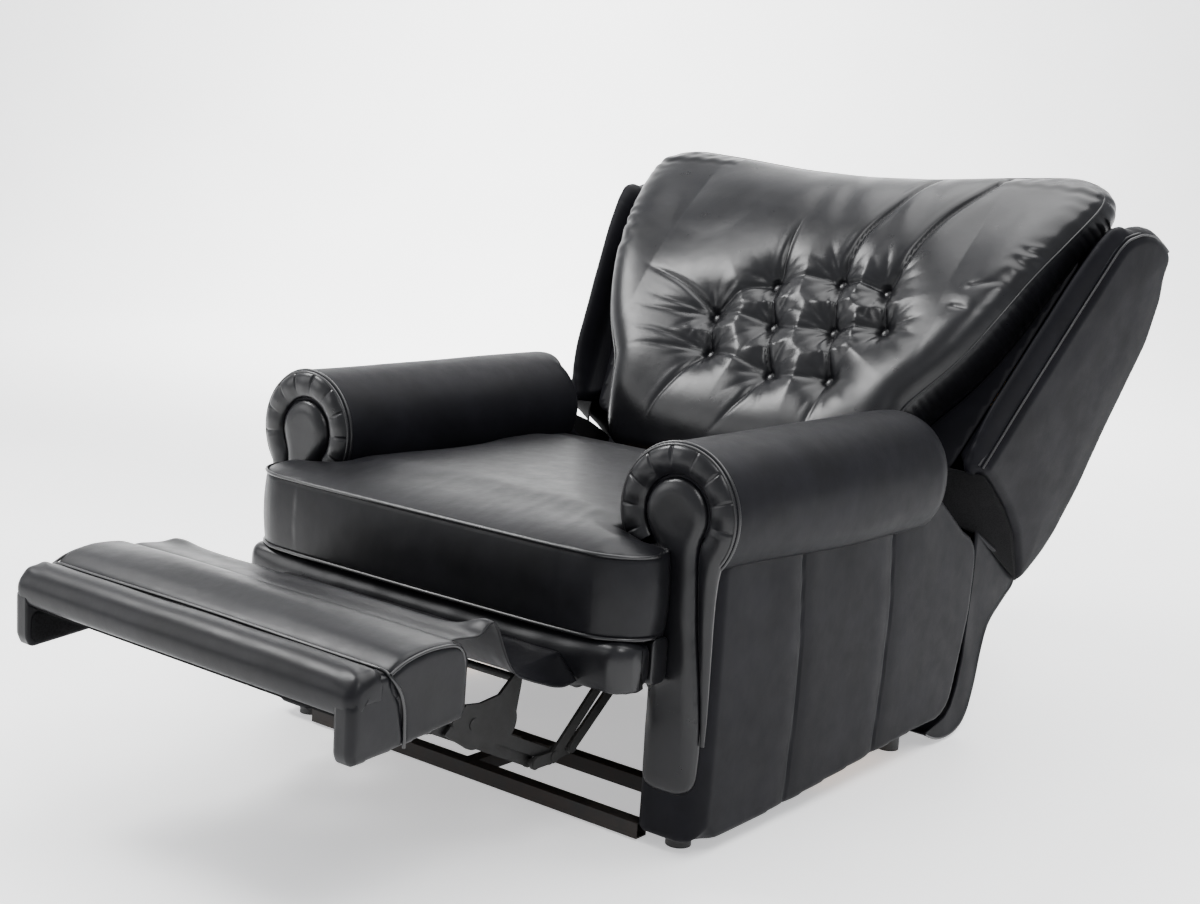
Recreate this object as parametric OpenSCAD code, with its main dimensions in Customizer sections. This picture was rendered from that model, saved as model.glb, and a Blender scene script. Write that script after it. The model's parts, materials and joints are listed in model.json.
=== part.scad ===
// Reclining wing armchair, laid back with its footrest swung out.
// Units are millimetres. +Z is up, the floor is z = 0, the sitter faces -Y and +X is the
// sitter's left. X = 0 is the plane of symmetry. Y = 0 is the middle of the overall length.

/* [Arms] */
// Radius of the rolled arm
roll_r = 104; // [102:0.5:105]
// Height of the arm roll's axis above the floor
roll_z = 516; // [512:1:520]
// Half width of the seat opening, to the inner faces of the arms
arm_in = 357; // [356:0.5:358]
// Half width across the outer faces of the arms
arm_out = 468; // [460:1:472]
// Radius of the padded disc on the front of the arm roll
disc_r = 55; // [45:1:65]

/* [Seat] */
// Height of the seat cushion's underside
seat_z = 338; // [336:1:342]
// Thickness of the seat cushion at its crown
seat_t = 154; // [140:1:158]
// Number of zigzag springs across the seat
spring_count = 5; // [3:1:6]

/* [Back] */
// Lean of the back from upright, fully reclined
lean = 33.5; // [30:0.5:34]
// Outward flare of the wings
flare = 11.9; // [9:0.1:12]
// Thickness of the wings
wing_t = 72; // [60:1:74]

/* [Footrest] */
// Length of the footrest board
board_l = 188; // [170:1:190]
// Height of the footrest pad above its board
pad_t = 64; // [58:1:66]
// Half width of the footrest board
board_w = 320; // [314:1:320]

/* [Linkage] */
// Width of the flat steel links
bar_w = 20; // [16:1:20]
// Diameter of the link rivets
rivet_d = 10; // [8:0.5:10]
// Running clearance on a rivet's radius
fit = 0.05; // [0.03:0.01:0.1]

/* [Hidden] */
$fn = 64;
centre_y = 340.4;
leather = "#1d1b1a";
leather_hi = "#2b2827";
steel = "#3a3d40";
wood = "#b98f5c";
wire = "#8d9296";
roll_x = arm_in + 35;

// Hinge of the back on the mechanism's side plates
hinge = [770, 330];

// Pivots of the footrest linkage, (y, z), with the footrest out
A1 = [90, 313];
A2 = [40, 315];
C = [-140, 154];
D1 = [-98, 160];
D2 = [-181, 154];
B1 = [-350, 252];
B2 = [-390, 252];
// Centres and extra radii of the two clearance holes that let the linkage run freely
D1_hole = [-99.61, 160.76];
D1_slack = 2.25;
B2_hole = [-390.12, 251.86];
B2_slack = 0.5;

// Layers of the linkage across the width, outer faces, from the outside in
plate_x = 309;
outer_x = 302;
main_x = 295;
short_x = 288;
bracket_x = 281;
bar_t = 5;

// ---- helpers ----------------------------------------------------------------------------

// Points on an arc, from angle a0 to a1 in n steps
function arc(x, y, r, a0, a1, n = 12) =
    [for (i = [0:n]) let(a = a0 + (a1 - a0) * i / n) [x + r * cos(a), y + r * sin(a)]];

// A side view (y, z) given thickness across the chair
module along_x(x0, x1) {
    translate([x0, 0, 0])
        rotate([90, 0, 90])
            linear_extrude(x1 - x0) children();
}

// A front view (x, z) given depth
module along_y(y0, y1) {
    translate([0, y1, 0])
        rotate([90, 0, 0])
            linear_extrude(y1 - y0) children();
}

// Everything is drawn from the arm front and moved so that y = 0 is the middle
module place() {
    translate([0, -centre_y, 0]) children();
}

module right_side() {
    mirror([1, 0, 0]) children();
}

// A stamped link in a side view: round ends of width w and a slightly narrower shank
module bar2(p, q, w) {
    d = q - p;
    translate(p) circle(d = w);
    translate(q) circle(d = w);
    translate(p)
        rotate(atan2(d[1], d[0]))
            translate([0, -w * 0.45]) square([norm(d), w * 0.9]);
}

// A window with round ends, in a side view
module slot2(p, q, w) {
    d = q - p;
    a = atan2(d[1], d[0]);
    polygon(concat(arc(p[0], p[1], w / 2, a + 90, a + 270, 8), arc(q[0], q[1], w / 2, a - 90, a + 90, 8)));
}

module hole2(p, d) {
    translate(p) circle(d = d);
}

// A rivet's shank and its low head, along X
module rivet(p, x0, x1) {
    translate([x0, p[0], p[1]])
        rotate([0, 90, 0]) cylinder(d = rivet_d, h = x1 - x0);
}

module rivet_head(p, x0) {
    translate([x0, p[0], p[1]])
        rotate([0, 90, 0]) cylinder(d = rivet_d * 1.7, h = 1.4);
}

// The leaning back's own frame: origin at the hinge, y to the rear, z up along the back
module in_back() {
    translate([0, hinge[0], hinge[1]])
        rotate([-lean, 0, 0]) children();
}

// ---- floor frame ------------------------------------------------------------------------

module tube_x(y0, z0, half) {
    difference() {
        translate([-half, y0, z0]) cube([2 * half, 25, 25]);
        translate([-half - 1, y0 + 2, z0 + 2]) cube([2 * half + 2, 21, 21]);
    }
}

module front_rail() {
    color(steel) place() tube_x(2, 4, arm_in);
}

module mid_rail() {
    color(steel) place() tube_x(166, 4, arm_in);
}

module rear_rail() {
    color(steel) place() tube_x(640, 45, arm_in);
}

module centre_rail() {
    color(steel) place() difference() {
        translate([-12.5, 27, 4]) cube([25, 139, 25]);
        translate([-10.5, 26, 6]) cube([21, 141, 21]);
    }
}

module feet() {
    color("#151515") place() for (s = [-1, 1]) {
        translate([s * (arm_in + 48), 45, 0]) cylinder(r = 20, h = 22);
        translate([s * (arm_in + 48), 690, 0]) cylinder(r = 20, h = 44);
    }
}

// ---- arms -------------------------------------------------------------------------------

// Side view of an arm below the roll: straight front, rounded lower and upper rear corners
module arm_side() {
    polygon(concat(
        [[12, 22], [240, 24], [650, 50]],
        arc(742, 114, 62, -90, -8, 10),
        [[836, 235], [841, 300]],
        arc(785, 340, 56, 0, 82, 8),
        [[690, 470], [12, 470]]
    ));
}

module arm_cavity() {
    polygon([[34, 10], [34, 448], [670, 448], [764, 366], [764, 150], [737, 60], [737, 10]]);
}

// The wooden arm frame: a sheet of posts and rails, standing on the feet
module arm_frame() {
    along_x(arm_in + 23, arm_in + 73) difference() {
        polygon([[34, 22], [80, 22], [650, 44], [727, 44], [737, 60], [764, 150], [764, 366],
                 [670, 448], [34, 448]]);
        for (y = [74, 250, 426]) translate([y, 84]) square([136, 128]);
        for (y = [74, 250, 426]) translate([y, 262]) square([136, 128]);
        translate([602, 110]) square([106, 110]);
        translate([602, 262]) square([106, 100]);
    }
}

module arm_body() {
    difference() {
        along_x(arm_in, arm_out) arm_side();
        along_x(arm_in + 23, arm_in + 73) arm_cavity();
    }
}

// The padded roll on top of the arm, with a rounded rear end
module arm_roll() {
    difference() {
        union() {
            translate([roll_x, 585, roll_z])
                rotate([90, 0, 0]) cylinder(r = roll_r, h = 573, $fn = 96);
            translate([roll_x, 585, roll_z])
                rotate([-90, 0, 0]) rotate_extrude($fn = 96)
                    polygon(concat([[0, 0], [roll_r, 0]], arc(roll_r - 60, 0, 60, 0, 90), [[0, 60]]));
        }
        translate([arm_in, 0, 300]) cube([arm_out - arm_in, 700, 170]);
    }
}

module keyhole(r, x0, x1, z0) {
    translate([roll_x, roll_z]) circle(r = r, $fn = 96);
    translate([x0, z0]) square([x1 - x0, roll_z - z0]);
}

// The front facing: a keyhole-shaped board with a raised pad of the same form
module arm_facing() {
    along_y(-6, 12) keyhole(roll_r, arm_in, arm_out, 20);
    along_y(-14, -6) {
        translate([roll_x, roll_z]) circle(r = disc_r, $fn = 96);
        polygon(concat(
            [[arm_in + 4, 500], [arm_in + 4, 96]],
            arc(arm_in + 66, 130, 34, -90, 0, 8),
            [[arm_in + 103, 170], [arm_in + 102, 215], [arm_in + 94, 280], [arm_in + 84, 350],
             [arm_in + 80, 470]]
        ));
    }
}

// ---- seat -------------------------------------------------------------------------------

// The front rail is notched at its ends, where the links pass under it
module seat_rail_front() {
    color(wood) place() along_y(-52, -27) polygon([
        [-333, 290], [-272, 290], [-262, 262], [262, 262], [272, 290], [333, 290],
        [333, seat_z], [-333, seat_z]
    ]);
}

module seat_rail_rear() {
    color(wood) place() translate([-304, 615, 262]) cube([608, 25, seat_z - 262]);
}

// Side rails stand on edge, with a long relief below the seat
module seat_side_rail() {
    along_x(plate_x, plate_x + 24) polygon(concat(
        [[-27, 290], [10, 275], [60, 262]], [[180, 262]],
        arc(330, 390, 150, -122, -58, 10),
        [[480, 262], [640, 262], [640, seat_z], [-27, seat_z]]
    ));
}

module seat_rail_left() {
    color(wood) place() seat_side_rail();
}

module seat_rail_right() {
    color(wood) place() right_side() seat_side_rail();
}

// One zigzag spring, a flat ribbon of constant width with round bends
module zigzag(x) {
    step = 45.2;
    loops = 14;
    translate([x, -20, 0]) linear_extrude(4) {
        for (i = [0:loops - 1]) {
            s = i % 2 == 0 ? 1 : -1;
            translate([s * 14, i * step + step / 2]) difference() {
                circle(r = step / 2 + 1.5, $fn = 40);
                circle(r = step / 2 - 1.5, $fn = 40);
                translate([s > 0 ? -40 : 0, -40]) square([40, 80]);
            }
        }
        for (i = [0:loops]) translate([-14, i * step - 1.5]) square([28, 3]);
    }
}

module seat_springs() {
    color(wire) place() translate([0, 0, seat_z - 4]) {
        for (i = [0:spring_count - 1]) zigzag((i - (spring_count - 1) / 2) * 96);
        for (y = [-24, 610]) translate([-260, y - 3, 0]) cube([520, 8, 4]);
    }
}

// Plan of the T cushion: wide ears in front of the arm rolls, narrower between them
module seat_plan() {
    polygon(concat(
        [[-345, 632], [-345, -16]],
        [[-400, -16]],
        arc(-340, -68, 62, 180, 270, 8),
        arc(340, -68, 62, 270, 360, 8),
        [[400, -16], [345, -16], [345, 632]]
    ));
}

module seat_cushion() {
    color(leather) place() intersection() {
        difference() {
            translate([0, 0, seat_z]) linear_extrude(seat_t) seat_plan();
            for (s = [-1, 1]) translate([s * roll_x, 660, roll_z])
                rotate([90, 0, 0]) cylinder(r = roll_r + 1, h = 700, $fn = 96);
        }
        // crown across the width
        translate([0, 660, seat_z + seat_t - 4010])
            rotate([90, 0, 0]) cylinder(r = 4010, h = 820, $fn = 360);
        // crown from front to back
        along_x(-420, 420) polygon(concat(
            [[640, seat_z], [640, seat_z + seat_t - 34]],
            [[440, seat_z + seat_t - 6], [260, seat_z + seat_t]],
            arc(-40, seat_z + seat_t - 92, 90, 88, 150, 8),
            [[-131, seat_z + 30], [-131, seat_z]]
        ));
    }
}

// The padded front band under the cushion; its lower rear edge is cut back for the links
module apron() {
    color(leather) place() difference() {
        along_x(-404, 404) polygon(concat(
            [[-55, seat_z - 1], [-55, 274], [-72, 260], [-92, 252]],
            arc(-107, 268, 18, 250, 180, 5),
            [[-125, 316]],
            arc(-107, 317, 18, 180, 92, 5)
        ));
        for (s = [-1, 1]) {
            translate([s * 404, -125, 240]) rotate([0, 0, s > 0 ? 45 : 135])
                translate([-24, -40, 0]) cube([200, 40, 100]);
            translate([s > 0 ? 315 : -415, -130, 240]) cube([100, 80, 24]);
        }
    }
}

// A strip of lining under the rear of the seat
module dust_cover() {
    color("#151515") place() translate([-440, 712, 40]) cube([880, 28, 4]);
}

// ---- footrest linkage -------------------------------------------------------------------

// Fixed side plate: carries the two link pivots and the back's hinge, and stands on the
// floor frame's middle and rear rails
module side_plate() {
    along_x(plate_x - bar_t, plate_x) difference() {
        union() {
            polygon(concat(
                [[24, 290], [166, 90], [166, 29], [191, 29]],
                arc(330, 60, 120, 170, 90, 8),
                arc(500, 60, 120, 90, 5, 8),
                [[640, 70], [665, 70], [690, 190], [752, 300], [752, 335], [24, 335]]
            ));
            translate(hinge) circle(r = 26);
        }
        for (y = [250, 430]) slot2([y, 262], [y + 60, 262], 50);
        slot2([600, 180], [632, 250], 44);
        for (y = [100, 560]) hole2([y, 225], 9);
    }
    rivet(A1, outer_x - bar_t, plate_x);
    rivet(A2, outer_x - bar_t, plate_x);
    // hinge pin of the back
    translate([plate_x, hinge[0], hinge[1]])
        rotate([0, 90, 0]) cylinder(r = 8, h = 9);
}

// Front link: seat pivot A2 to the joints C and D2
module front_link() {
    along_x(outer_x - bar_t, outer_x) difference() {
        union() {
            bar2(A2, C, bar_w);
            bar2(C, D2, bar_w);
        }
        hole2(A2, rivet_d + 2 * fit);
    }
    rivet(C, main_x - bar_t, outer_x - bar_t);
    rivet(D2, short_x - bar_t, outer_x - bar_t);
    rivet_head(C, outer_x);
    rivet_head(D2, outer_x);
}

// Rear link: seat pivot A1 to the joint D1
module rear_link() {
    along_x(outer_x - bar_t, outer_x) difference() {
        bar2(A1, D1, bar_w);
        hole2(A1, rivet_d + 2 * fit);
    }
    rivet(D1, main_x - bar_t, outer_x - bar_t);
    rivet_head(D1, outer_x);
}

// Main link: D1 and C to the footrest pivot B1, with a round cheek and an ear for the
// support bar under the leather connector
module main_link() {
    along_x(main_x - bar_t, main_x) difference() {
        union() {
            bar2(D1, C, bar_w + 8);
            bar2(C, B1, bar_w);
            polygon(concat(
                [[-372, 238]],
                arc(-308, 236, 33, 230, 270, 5),
                arc(-252, 230, 30, 270, 380, 10),
                [[-216, 280]],
                arc(-226, 288, 10, 0, 140, 5),
                [[-262, 272], [-300, 268], [-330, 272]]
            ));
        }
        hole2(C, rivet_d + 2 * fit);
        hole2(B1, rivet_d + 2 * fit);
        hole2(D1_hole, rivet_d + 2 * D1_slack);
    }
    rivet_head([-314, 241], main_x);
}

// Short link: D2 to the footrest pivot B2
module short_link() {
    along_x(short_x - bar_t, short_x) difference() {
        bar2(D2, B2, bar_w);
        hole2(D2, rivet_d + 2 * fit);
        hole2(B2_hole, rivet_d + 2 * B2_slack);
    }
}

// Bracket under the footrest board with the pivots B1 and B2
module footrest_bracket() {
    along_x(bracket_x - bar_t, bracket_x) polygon(concat(
        [[-560, 316], [-560, 306], [-450, 262]],
        arc(B2[0], B2[1], 12, 250, 290, 4),
        arc(B1[0], B1[1], 12, 270, 410, 8),
        [[-402, 306], [-402, 316]]
    ));
    rivet(B1, bracket_x, main_x);
    rivet_head(B1, main_x);
    rivet(B2, bracket_x, short_x);
    // foot flange, screwed to the board
    translate([bracket_x - 32, -560, 312]) cube([27, 158, 4]);
}

module torque_tube() {
    color(steel) place() translate([-outer_x + bar_t, A1[0], A1[1]])
        rotate([0, 90, 0]) difference() {
            cylinder(r = 9, h = 2 * (outer_x - bar_t));
            translate([0, 0, -1]) cylinder(r = 6.5, h = 2 * (outer_x - bar_t) + 2);
        }
}

module support_bar() {
    color(steel) place() translate([-main_x + bar_t, -226, 288])
        rotate([0, 90, 0]) cylinder(r = 6, h = 2 * (main_x - bar_t));
}

// ---- footrest ---------------------------------------------------------------------------

board_y = -590;

module footrest_board() {
    color(wood) place() translate([-board_w, board_y, 316]) cube([2 * board_w, board_l, 18]);
}

// Crowned rear section of the footrest
module footrest_pad() {
    color(leather) place() along_x(-board_w, board_w) polygon(concat(
        [[-540, 334], [-408, 334], [-404, 342], [-404, 374]],
        arc(-424, 334 + pad_t - 20, 20, 0, 80, 5),
        [[-470, 334 + pad_t]],
        [[-510, 334 + pad_t - 8], [-540, 374]]
    ));
}

// Rounded front section that turns down over the board's front edge
module footrest_front_roll() {
    color(leather) place() along_x(-board_w, board_w) polygon(concat(
        [[-541, 334], [-541, 374], [-556, 379]],
        arc(-568, 343, 36, 84, 180, 10),
        [[-600, 331], [-592, 328], [-590.2, 328], [-590.2, 334]]
    ));
}

// Leather-wrapped end of the footrest, which hangs a little below the board
module footrest_flap() {
    along_x(board_w, board_w + 32) polygon([
        [-604, 272], [-596, 259], [-509, 268], [-397, 280], [-391, 290], [-391, 376], [-400, 391],
        [-424, 397], [-470, 399], [-508, 391], [-545, 377], [-568, 379], [-586, 374],
        [-598, 362], [-604, 346]
    ]);
}

// The loose leather between footrest and apron, a thin sheet over the support bar
module leg_connector() {
    color(leather) place() along_x(-318, 318) polygon([
        [-403.5, 392], [-352, 384], [-324, 401], [-313, 392], [-246, 332], [-222, 322],
        [-180, 318], [-126, 322], [-126, 319], [-180, 315], [-222, 319], [-248, 329],
        [-315, 389], [-325, 397], [-352, 381], [-403.5, 389]
    ]);
}

// ---- back -------------------------------------------------------------------------------

module back_bracket() {
    along_x(311, 317) difference() {
        union() {
            bar2([0, 0], [-20, 210], 36);
            circle(r = 26);
        }
        circle(r = 8 + fit);
        hole2([-14, 150], 8);
        hole2([-18, 190], 8);
    }
}

// Inner line of the outside back, which the ribs stand against
rear_inner = [[240, 98], [252, 118], [262, 180], [262, 225], [243, 328], [217, 420], [200, 496],
              [176, 596], [136, 664], [100, 690], [78, 722]];

// Side rib of the back frame, a profile board with lightening windows
module back_rib() {
    along_x(317, 341) difference() {
        polygon(concat(
            [[-44, 60], [-42, 300], [-35, 638], [0, 666], [16, 712], [40, 722]],
            [for (i = [len(rear_inner) - 1:-1:0]) rear_inner[i]],
            [[200, 92], [30, 48]]
        ));
        slot2([40, 130], [190, 165], 60);
        slot2([30, 262], [180, 262], 80);
        slot2([30, 395], [150, 395], 80);
        slot2([30, 520], [125, 520], 70);
        slot2([40, 630], [90, 630], 60);
        hole2([-24, 470], 12);
    }
}

module back_rail_lower() {
    color(wood) place() in_back() translate([-311, -44, 70]) cube([622, 22, 80]);
}

// Top rail with a shallow dip in the middle
module back_rail_top() {
    color(wood) place() in_back() along_y(-34, -12) polygon(concat(
        [[-317, 560], [317, 560], [317, 640]],
        [for (i = [0:12]) let(x = 240 - 40 * i) [x, 640 - 18 * cos(x * 90 / 240)]],
        [[-317, 640]]
    ));
}

// Front outline of the back cushion, wider upwards, with a saddle on top
module cushion_front() {
    half = [[300, 152], [320, 175], [328, 230], [379, 306], [400, 343], [422, 393], [446, 459],
            [469, 539], [489, 605], [514, 735], [506, 770], [465, 786], [430, 796], [300, 786],
            [150, 768], [0, 760]];
    polygon(concat(half, [for (i = [len(half) - 2:-1:0]) [-half[i][0], half[i][1]]]));
}

// Side outline of the back cushion: bulging front, flat rear against the frame
module cushion_side() {
    polygon(concat(
        [[-46, 152], [-120, 152]],
        arc(-128, 190, 38, 260, 180, 5),
        [[-172, 330], [-172, 470], [-152, 600], [-120, 700]],
        arc(-60, 728, 62, 160, 60, 8),
        [[2, 760], [-12, 664], [-36.5, 644], [-46, 300]]
    ));
}

module back_cushion() {
    color(leather) place() in_back() intersection() {
        along_x(-520, 520) cushion_side();
        along_y(-190, 20) cushion_front();
    }
}

// Deep buttons in a diamond pattern
module back_buttons() {
    color(leather_hi) place() in_back() for (row = [0:2]) {
        n = row == 1 ? 3 : 4;
        for (i = [0:n - 1]) translate([(i - (n - 1) / 2) * 190, -172, 400 - 70 + row * 70])
            rotate([90, 0, 0]) cylinder(r = 14, h = 4);
    }
}

// Side outline of a wing, from its straight front edge to its rounded rear
module wing_side() {
    pts = concat(
        [[-70, 170], [-63, 640]],
        arc(-23, 668, 42, 170, 100, 5),
        [[18, 728], [84, 745]],
        arc(92, 722, 24, 90, 10, 5),
        [[158, 679], [199, 605], [224, 500], [241, 424], [267, 332]],
        arc(234, 215, 53, 15, -25, 5),
        [[273, 112], [259, 84], [217, 116], [147, 148], [68, 163], [-8, 167]]
    );
    polygon([for (p = pts) [p[0], p[1] / cos(flare)]]);
}

module wing() {
    translate([446.6, 0, 0]) rotate([0, flare, 0]) {
        along_x(-wing_t, 0) wing_side();
        // padded roll along the front edge
        translate([-wing_t / 2, -80, 205]) cylinder(r = 33, h = 430);
        translate([-wing_t / 2, -80, 205]) sphere(r = 33);
        translate([-wing_t / 2, -80, 635]) sphere(r = 33);
    }
}

// Half width between the wings' inner faces at height z along the back
function between(z) = 446.6 - wing_t / cos(flare) + z * tan(flare);

// Rear shell between the wings, a curved band
module outside_back() {
    outer = concat(
        [[10, 741], [84, 745]],
        arc(92, 722, 24, 90, 10, 5),
        [[158, 679], [199, 605], [224, 500], [241, 424], [267, 332]],
        arc(234, 215, 53, 15, -25, 5),
        [[273, 112], [259, 84]]
    );
    inner = concat(rear_inner, [[10, 722]]);
    color(leather) place() in_back() intersection() {
        along_x(-600, 600) polygon(concat(outer, inner));
        along_y(0, 300) polygon([
            [-between(60), 60], [between(60), 60], [between(760), 760], [-between(760), 760]
        ]);
    }
}

// A point of the leaning back's frame, seen from the floor
function in_room(p) = [
    hinge[0] + p[0] * cos(lean) + p[1] * sin(lean),
    hinge[1] - p[0] * sin(lean) + p[1] * cos(lean)
];

// Leather that hangs from the outside back behind the seat: an S-shaped band that hooks in
// under the arms, with a flat gusset at each end
module rear_skirt() {
    outer = [[1006, 245], [976, 225], [950, 209], [933, 187], [919, 140], [909, 90], [892, 42],
             [876, 22], [849, 9], [812, 6], [780, 9], [748, 20], [732, 27]];
    inner = [[733, 30], [750, 24], [781, 13], [812, 10], [847, 13], [873, 25], [888, 44],
             [905, 91], [915, 141], [929, 189], [947, 212], [973, 229], [1003, 249]];
    color(leather) place() {
        along_x(-455, 455) polygon(concat(
            [in_room([258.7, 83.6])], outer, inner, [in_room([251, 89.3])]
        ));
        for (s = [-455, 449]) along_x(s, s + 6) polygon(concat(
            [in_room([258.7, 83.6])], outer,
            [[733, 30], [770, 38], [800, 44], [822, 62], [838, 100], [848, 150], [854, 235],
             [856, 300], [853, 360], [862, 415], [905, 420], in_room([90, 150]),
             in_room([147, 139]), in_room([217, 106]), in_room([238, 92])]
        ));
    }
}

// ---- the assembly -----------------------------------------------------------------------

front_rail();
mid_rail();
rear_rail();
centre_rail();
feet();
color(wood) place() arm_frame();  // arm_frame_left
color(leather) place() arm_body();  // arm_body_left
color(leather) place() arm_roll();  // arm_roll_left
color(leather_hi) place() arm_facing();  // arm_facing_left
color(wood) place() right_side() arm_frame();  // arm_frame_right
color(leather) place() right_side() arm_body();  // arm_body_right
color(leather) place() right_side() arm_roll();  // arm_roll_right
color(leather_hi) place() right_side() arm_facing();  // arm_facing_right
seat_rail_front();
seat_rail_rear();
seat_rail_left();
seat_rail_right();
seat_springs();
seat_cushion();
apron();
dust_cover();
color(steel) place() side_plate();  // side_plate_left
color(steel) place() right_side() side_plate();  // side_plate_right
color(steel) place() front_link();  // front_link_left
color(steel) place() right_side() front_link();  // front_link_right
color(steel) place() rear_link();  // rear_link_left
color(steel) place() right_side() rear_link();  // rear_link_right
torque_tube();
color(steel) place() main_link();  // main_link_left
color(steel) place() right_side() main_link();  // main_link_right
support_bar();
color(steel) place() short_link();  // short_link_left
color(steel) place() right_side() short_link();  // short_link_right
footrest_board();
footrest_pad();
footrest_front_roll();
color(leather) place() footrest_flap();  // footrest_flap_left
color(leather) place() right_side() footrest_flap();  // footrest_flap_right
color(steel) place() footrest_bracket();  // footrest_bracket_left
color(steel) place() right_side() footrest_bracket();  // footrest_bracket_right
leg_connector();
color(steel) place() in_back() back_bracket();  // back_bracket_left
color(steel) place() right_side() in_back() back_bracket();  // back_bracket_right
color(wood) place() in_back() back_rib();  // back_rib_left
color(wood) place() right_side() in_back() back_rib();  // back_rib_right
back_rail_top();
back_rail_lower();
back_cushion();
back_buttons();
color(leather) place() in_back() wing();  // wing_left
color(leather) place() right_side() in_back() wing();  // wing_right
outside_back();
rear_skirt();
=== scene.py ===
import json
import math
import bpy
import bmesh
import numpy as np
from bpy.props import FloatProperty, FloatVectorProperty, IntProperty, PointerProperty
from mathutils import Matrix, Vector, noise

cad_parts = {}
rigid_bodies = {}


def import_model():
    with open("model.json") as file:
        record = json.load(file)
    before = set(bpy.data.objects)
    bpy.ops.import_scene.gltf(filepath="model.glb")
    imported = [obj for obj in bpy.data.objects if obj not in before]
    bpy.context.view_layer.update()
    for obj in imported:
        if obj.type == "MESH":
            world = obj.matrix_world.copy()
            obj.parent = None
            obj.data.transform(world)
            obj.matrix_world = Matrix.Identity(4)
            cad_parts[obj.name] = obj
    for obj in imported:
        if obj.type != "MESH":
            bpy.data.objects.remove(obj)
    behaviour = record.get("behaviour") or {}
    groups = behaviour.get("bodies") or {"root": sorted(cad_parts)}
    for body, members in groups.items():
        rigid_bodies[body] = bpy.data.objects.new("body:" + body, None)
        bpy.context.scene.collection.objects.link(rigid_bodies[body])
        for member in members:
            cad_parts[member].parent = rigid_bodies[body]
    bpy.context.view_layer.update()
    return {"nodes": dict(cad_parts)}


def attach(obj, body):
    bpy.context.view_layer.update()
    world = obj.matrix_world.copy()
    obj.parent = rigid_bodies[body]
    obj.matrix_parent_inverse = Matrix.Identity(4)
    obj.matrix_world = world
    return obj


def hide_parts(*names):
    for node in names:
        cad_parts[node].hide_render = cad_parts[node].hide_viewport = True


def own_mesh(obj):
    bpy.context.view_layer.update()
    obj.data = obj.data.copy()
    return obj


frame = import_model()        # nodes of the imported model

bl_info = {
    "name": "Reclining Wing Armchair",
    "version": (1, 0, 0),
    "blender": (4, 5, 0),
    "location": "View3D > Sidebar > Armchair",
    "description": "Dresses the recliner's frame in black buttoned leather, welts and steel",
    "category": "Object",
}

FRONT = -340.4           # the arm fronts in the frame, in mm; shapes below start from them
HINGE = (770.0, 330.0)   # hinge of the back, (y, z) in mm
LEAN = math.radians(33.5)        # lean of the back from upright
FLARE = math.radians(11.9)       # flare of the wings with height
WING_FOOT = 446.6                # half width over the wings at the hinge's height, in mm
WING_THICK = 72                  # through a wing, square to its face, in mm
ROLL_X, ROLL_Z = 392.0, 516.0    # centre line of the arm rolls, in mm
SEAT_BASE = 339.0                # underside of the seat cushion, in mm
NO_LIMIT = 1e6
CLOTH_FRAMES = 20                # length of each cloth run


# ---- sizes and colours ---------------------------------------------------------------------

def srgb(code):
    """An sRGB hex colour as linear RGBA."""
    c = [int(code[i:i + 2], 16) / 255 for i in (1, 3, 5)]
    return tuple(v / 12.92 if v <= 0.04045 else ((v + 0.055) / 1.055) ** 2.4 for v in c) + (1.0,)


class ChairSizes(bpy.types.PropertyGroup):
    roll_radius: FloatProperty(
        name="Arm Roll", description="Radius of the rolled arms",
        default=0.104, unit="LENGTH", subtype="DISTANCE")
    disc_radius: FloatProperty(
        name="Scroll Disc", description="Radius of the padded disc on the arm front",
        default=0.055, unit="LENGTH", subtype="DISTANCE")
    arm_outer: FloatProperty(
        name="Arm Outside", description="Half width across the arms' outer panels",
        default=0.468, unit="LENGTH", subtype="DISTANCE")
    arm_inner: FloatProperty(
        name="Arm Inside", description="Half width of the seat opening",
        default=0.357, unit="LENGTH", subtype="DISTANCE")
    seat_welt: FloatProperty(
        name="Seat Welt Height", description="Height of the seat cushion's upper welt",
        default=0.462, unit="LENGTH", subtype="DISTANCE")
    seat_crown: FloatProperty(
        name="Seat Crown", description="Rise of the seat cushion above its upper welt",
        default=0.030, unit="LENGTH", subtype="DISTANCE")
    tuft_depth: FloatProperty(
        name="Tuft Depth", description="How deep the back's buttons are pulled in",
        default=0.044, unit="LENGTH", subtype="DISTANCE")
    welt_radius: FloatProperty(
        name="Welt Radius", description="Radius of the leather-covered welt cords",
        default=0.0023, unit="LENGTH", subtype="DISTANCE")
    button_radius: FloatProperty(
        name="Button Radius", description="Radius of the covered buttons",
        default=0.0115, unit="LENGTH", subtype="DISTANCE")
    facing_pleats: IntProperty(
        name="Facing Pleats", description="Radial pleats in the ring on the arm front",
        default=9, min=3, max=24)


class ChairColours(bpy.types.PropertyGroup):
    waxed: FloatVectorProperty(
        name="Waxed Leather", description="Dye of the buttoned back, apron and arm fronts",
        default=srgb("#0a0a0c")[:3], subtype="COLOR", size=3)
    arm: FloatVectorProperty(
        name="Arm Leather", description="Dye of the arms, wings and outside back",
        default=srgb("#0c0c0f")[:3], subtype="COLOR", size=3)
    worn: FloatVectorProperty(
        name="Worn Leather", description="Dye of the seat and footrest",
        default=srgb("#0b0b0d")[:3], subtype="COLOR", size=3)
    welt: FloatVectorProperty(
        name="Welt Leather", description="Dye of the welt cords",
        default=srgb("#0a0a0c")[:3], subtype="COLOR", size=3)
    floor: FloatVectorProperty(
        name="Floor", description="Tone of the studio sweep",
        default=srgb("#f6f6f5")[:3], subtype="COLOR", size=3)


def sizes():
    return bpy.context.scene.armchair_sizes


def mm(value):
    return value * 1000.0


# ---- small geometry helpers ----------------------------------------------------------------

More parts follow.
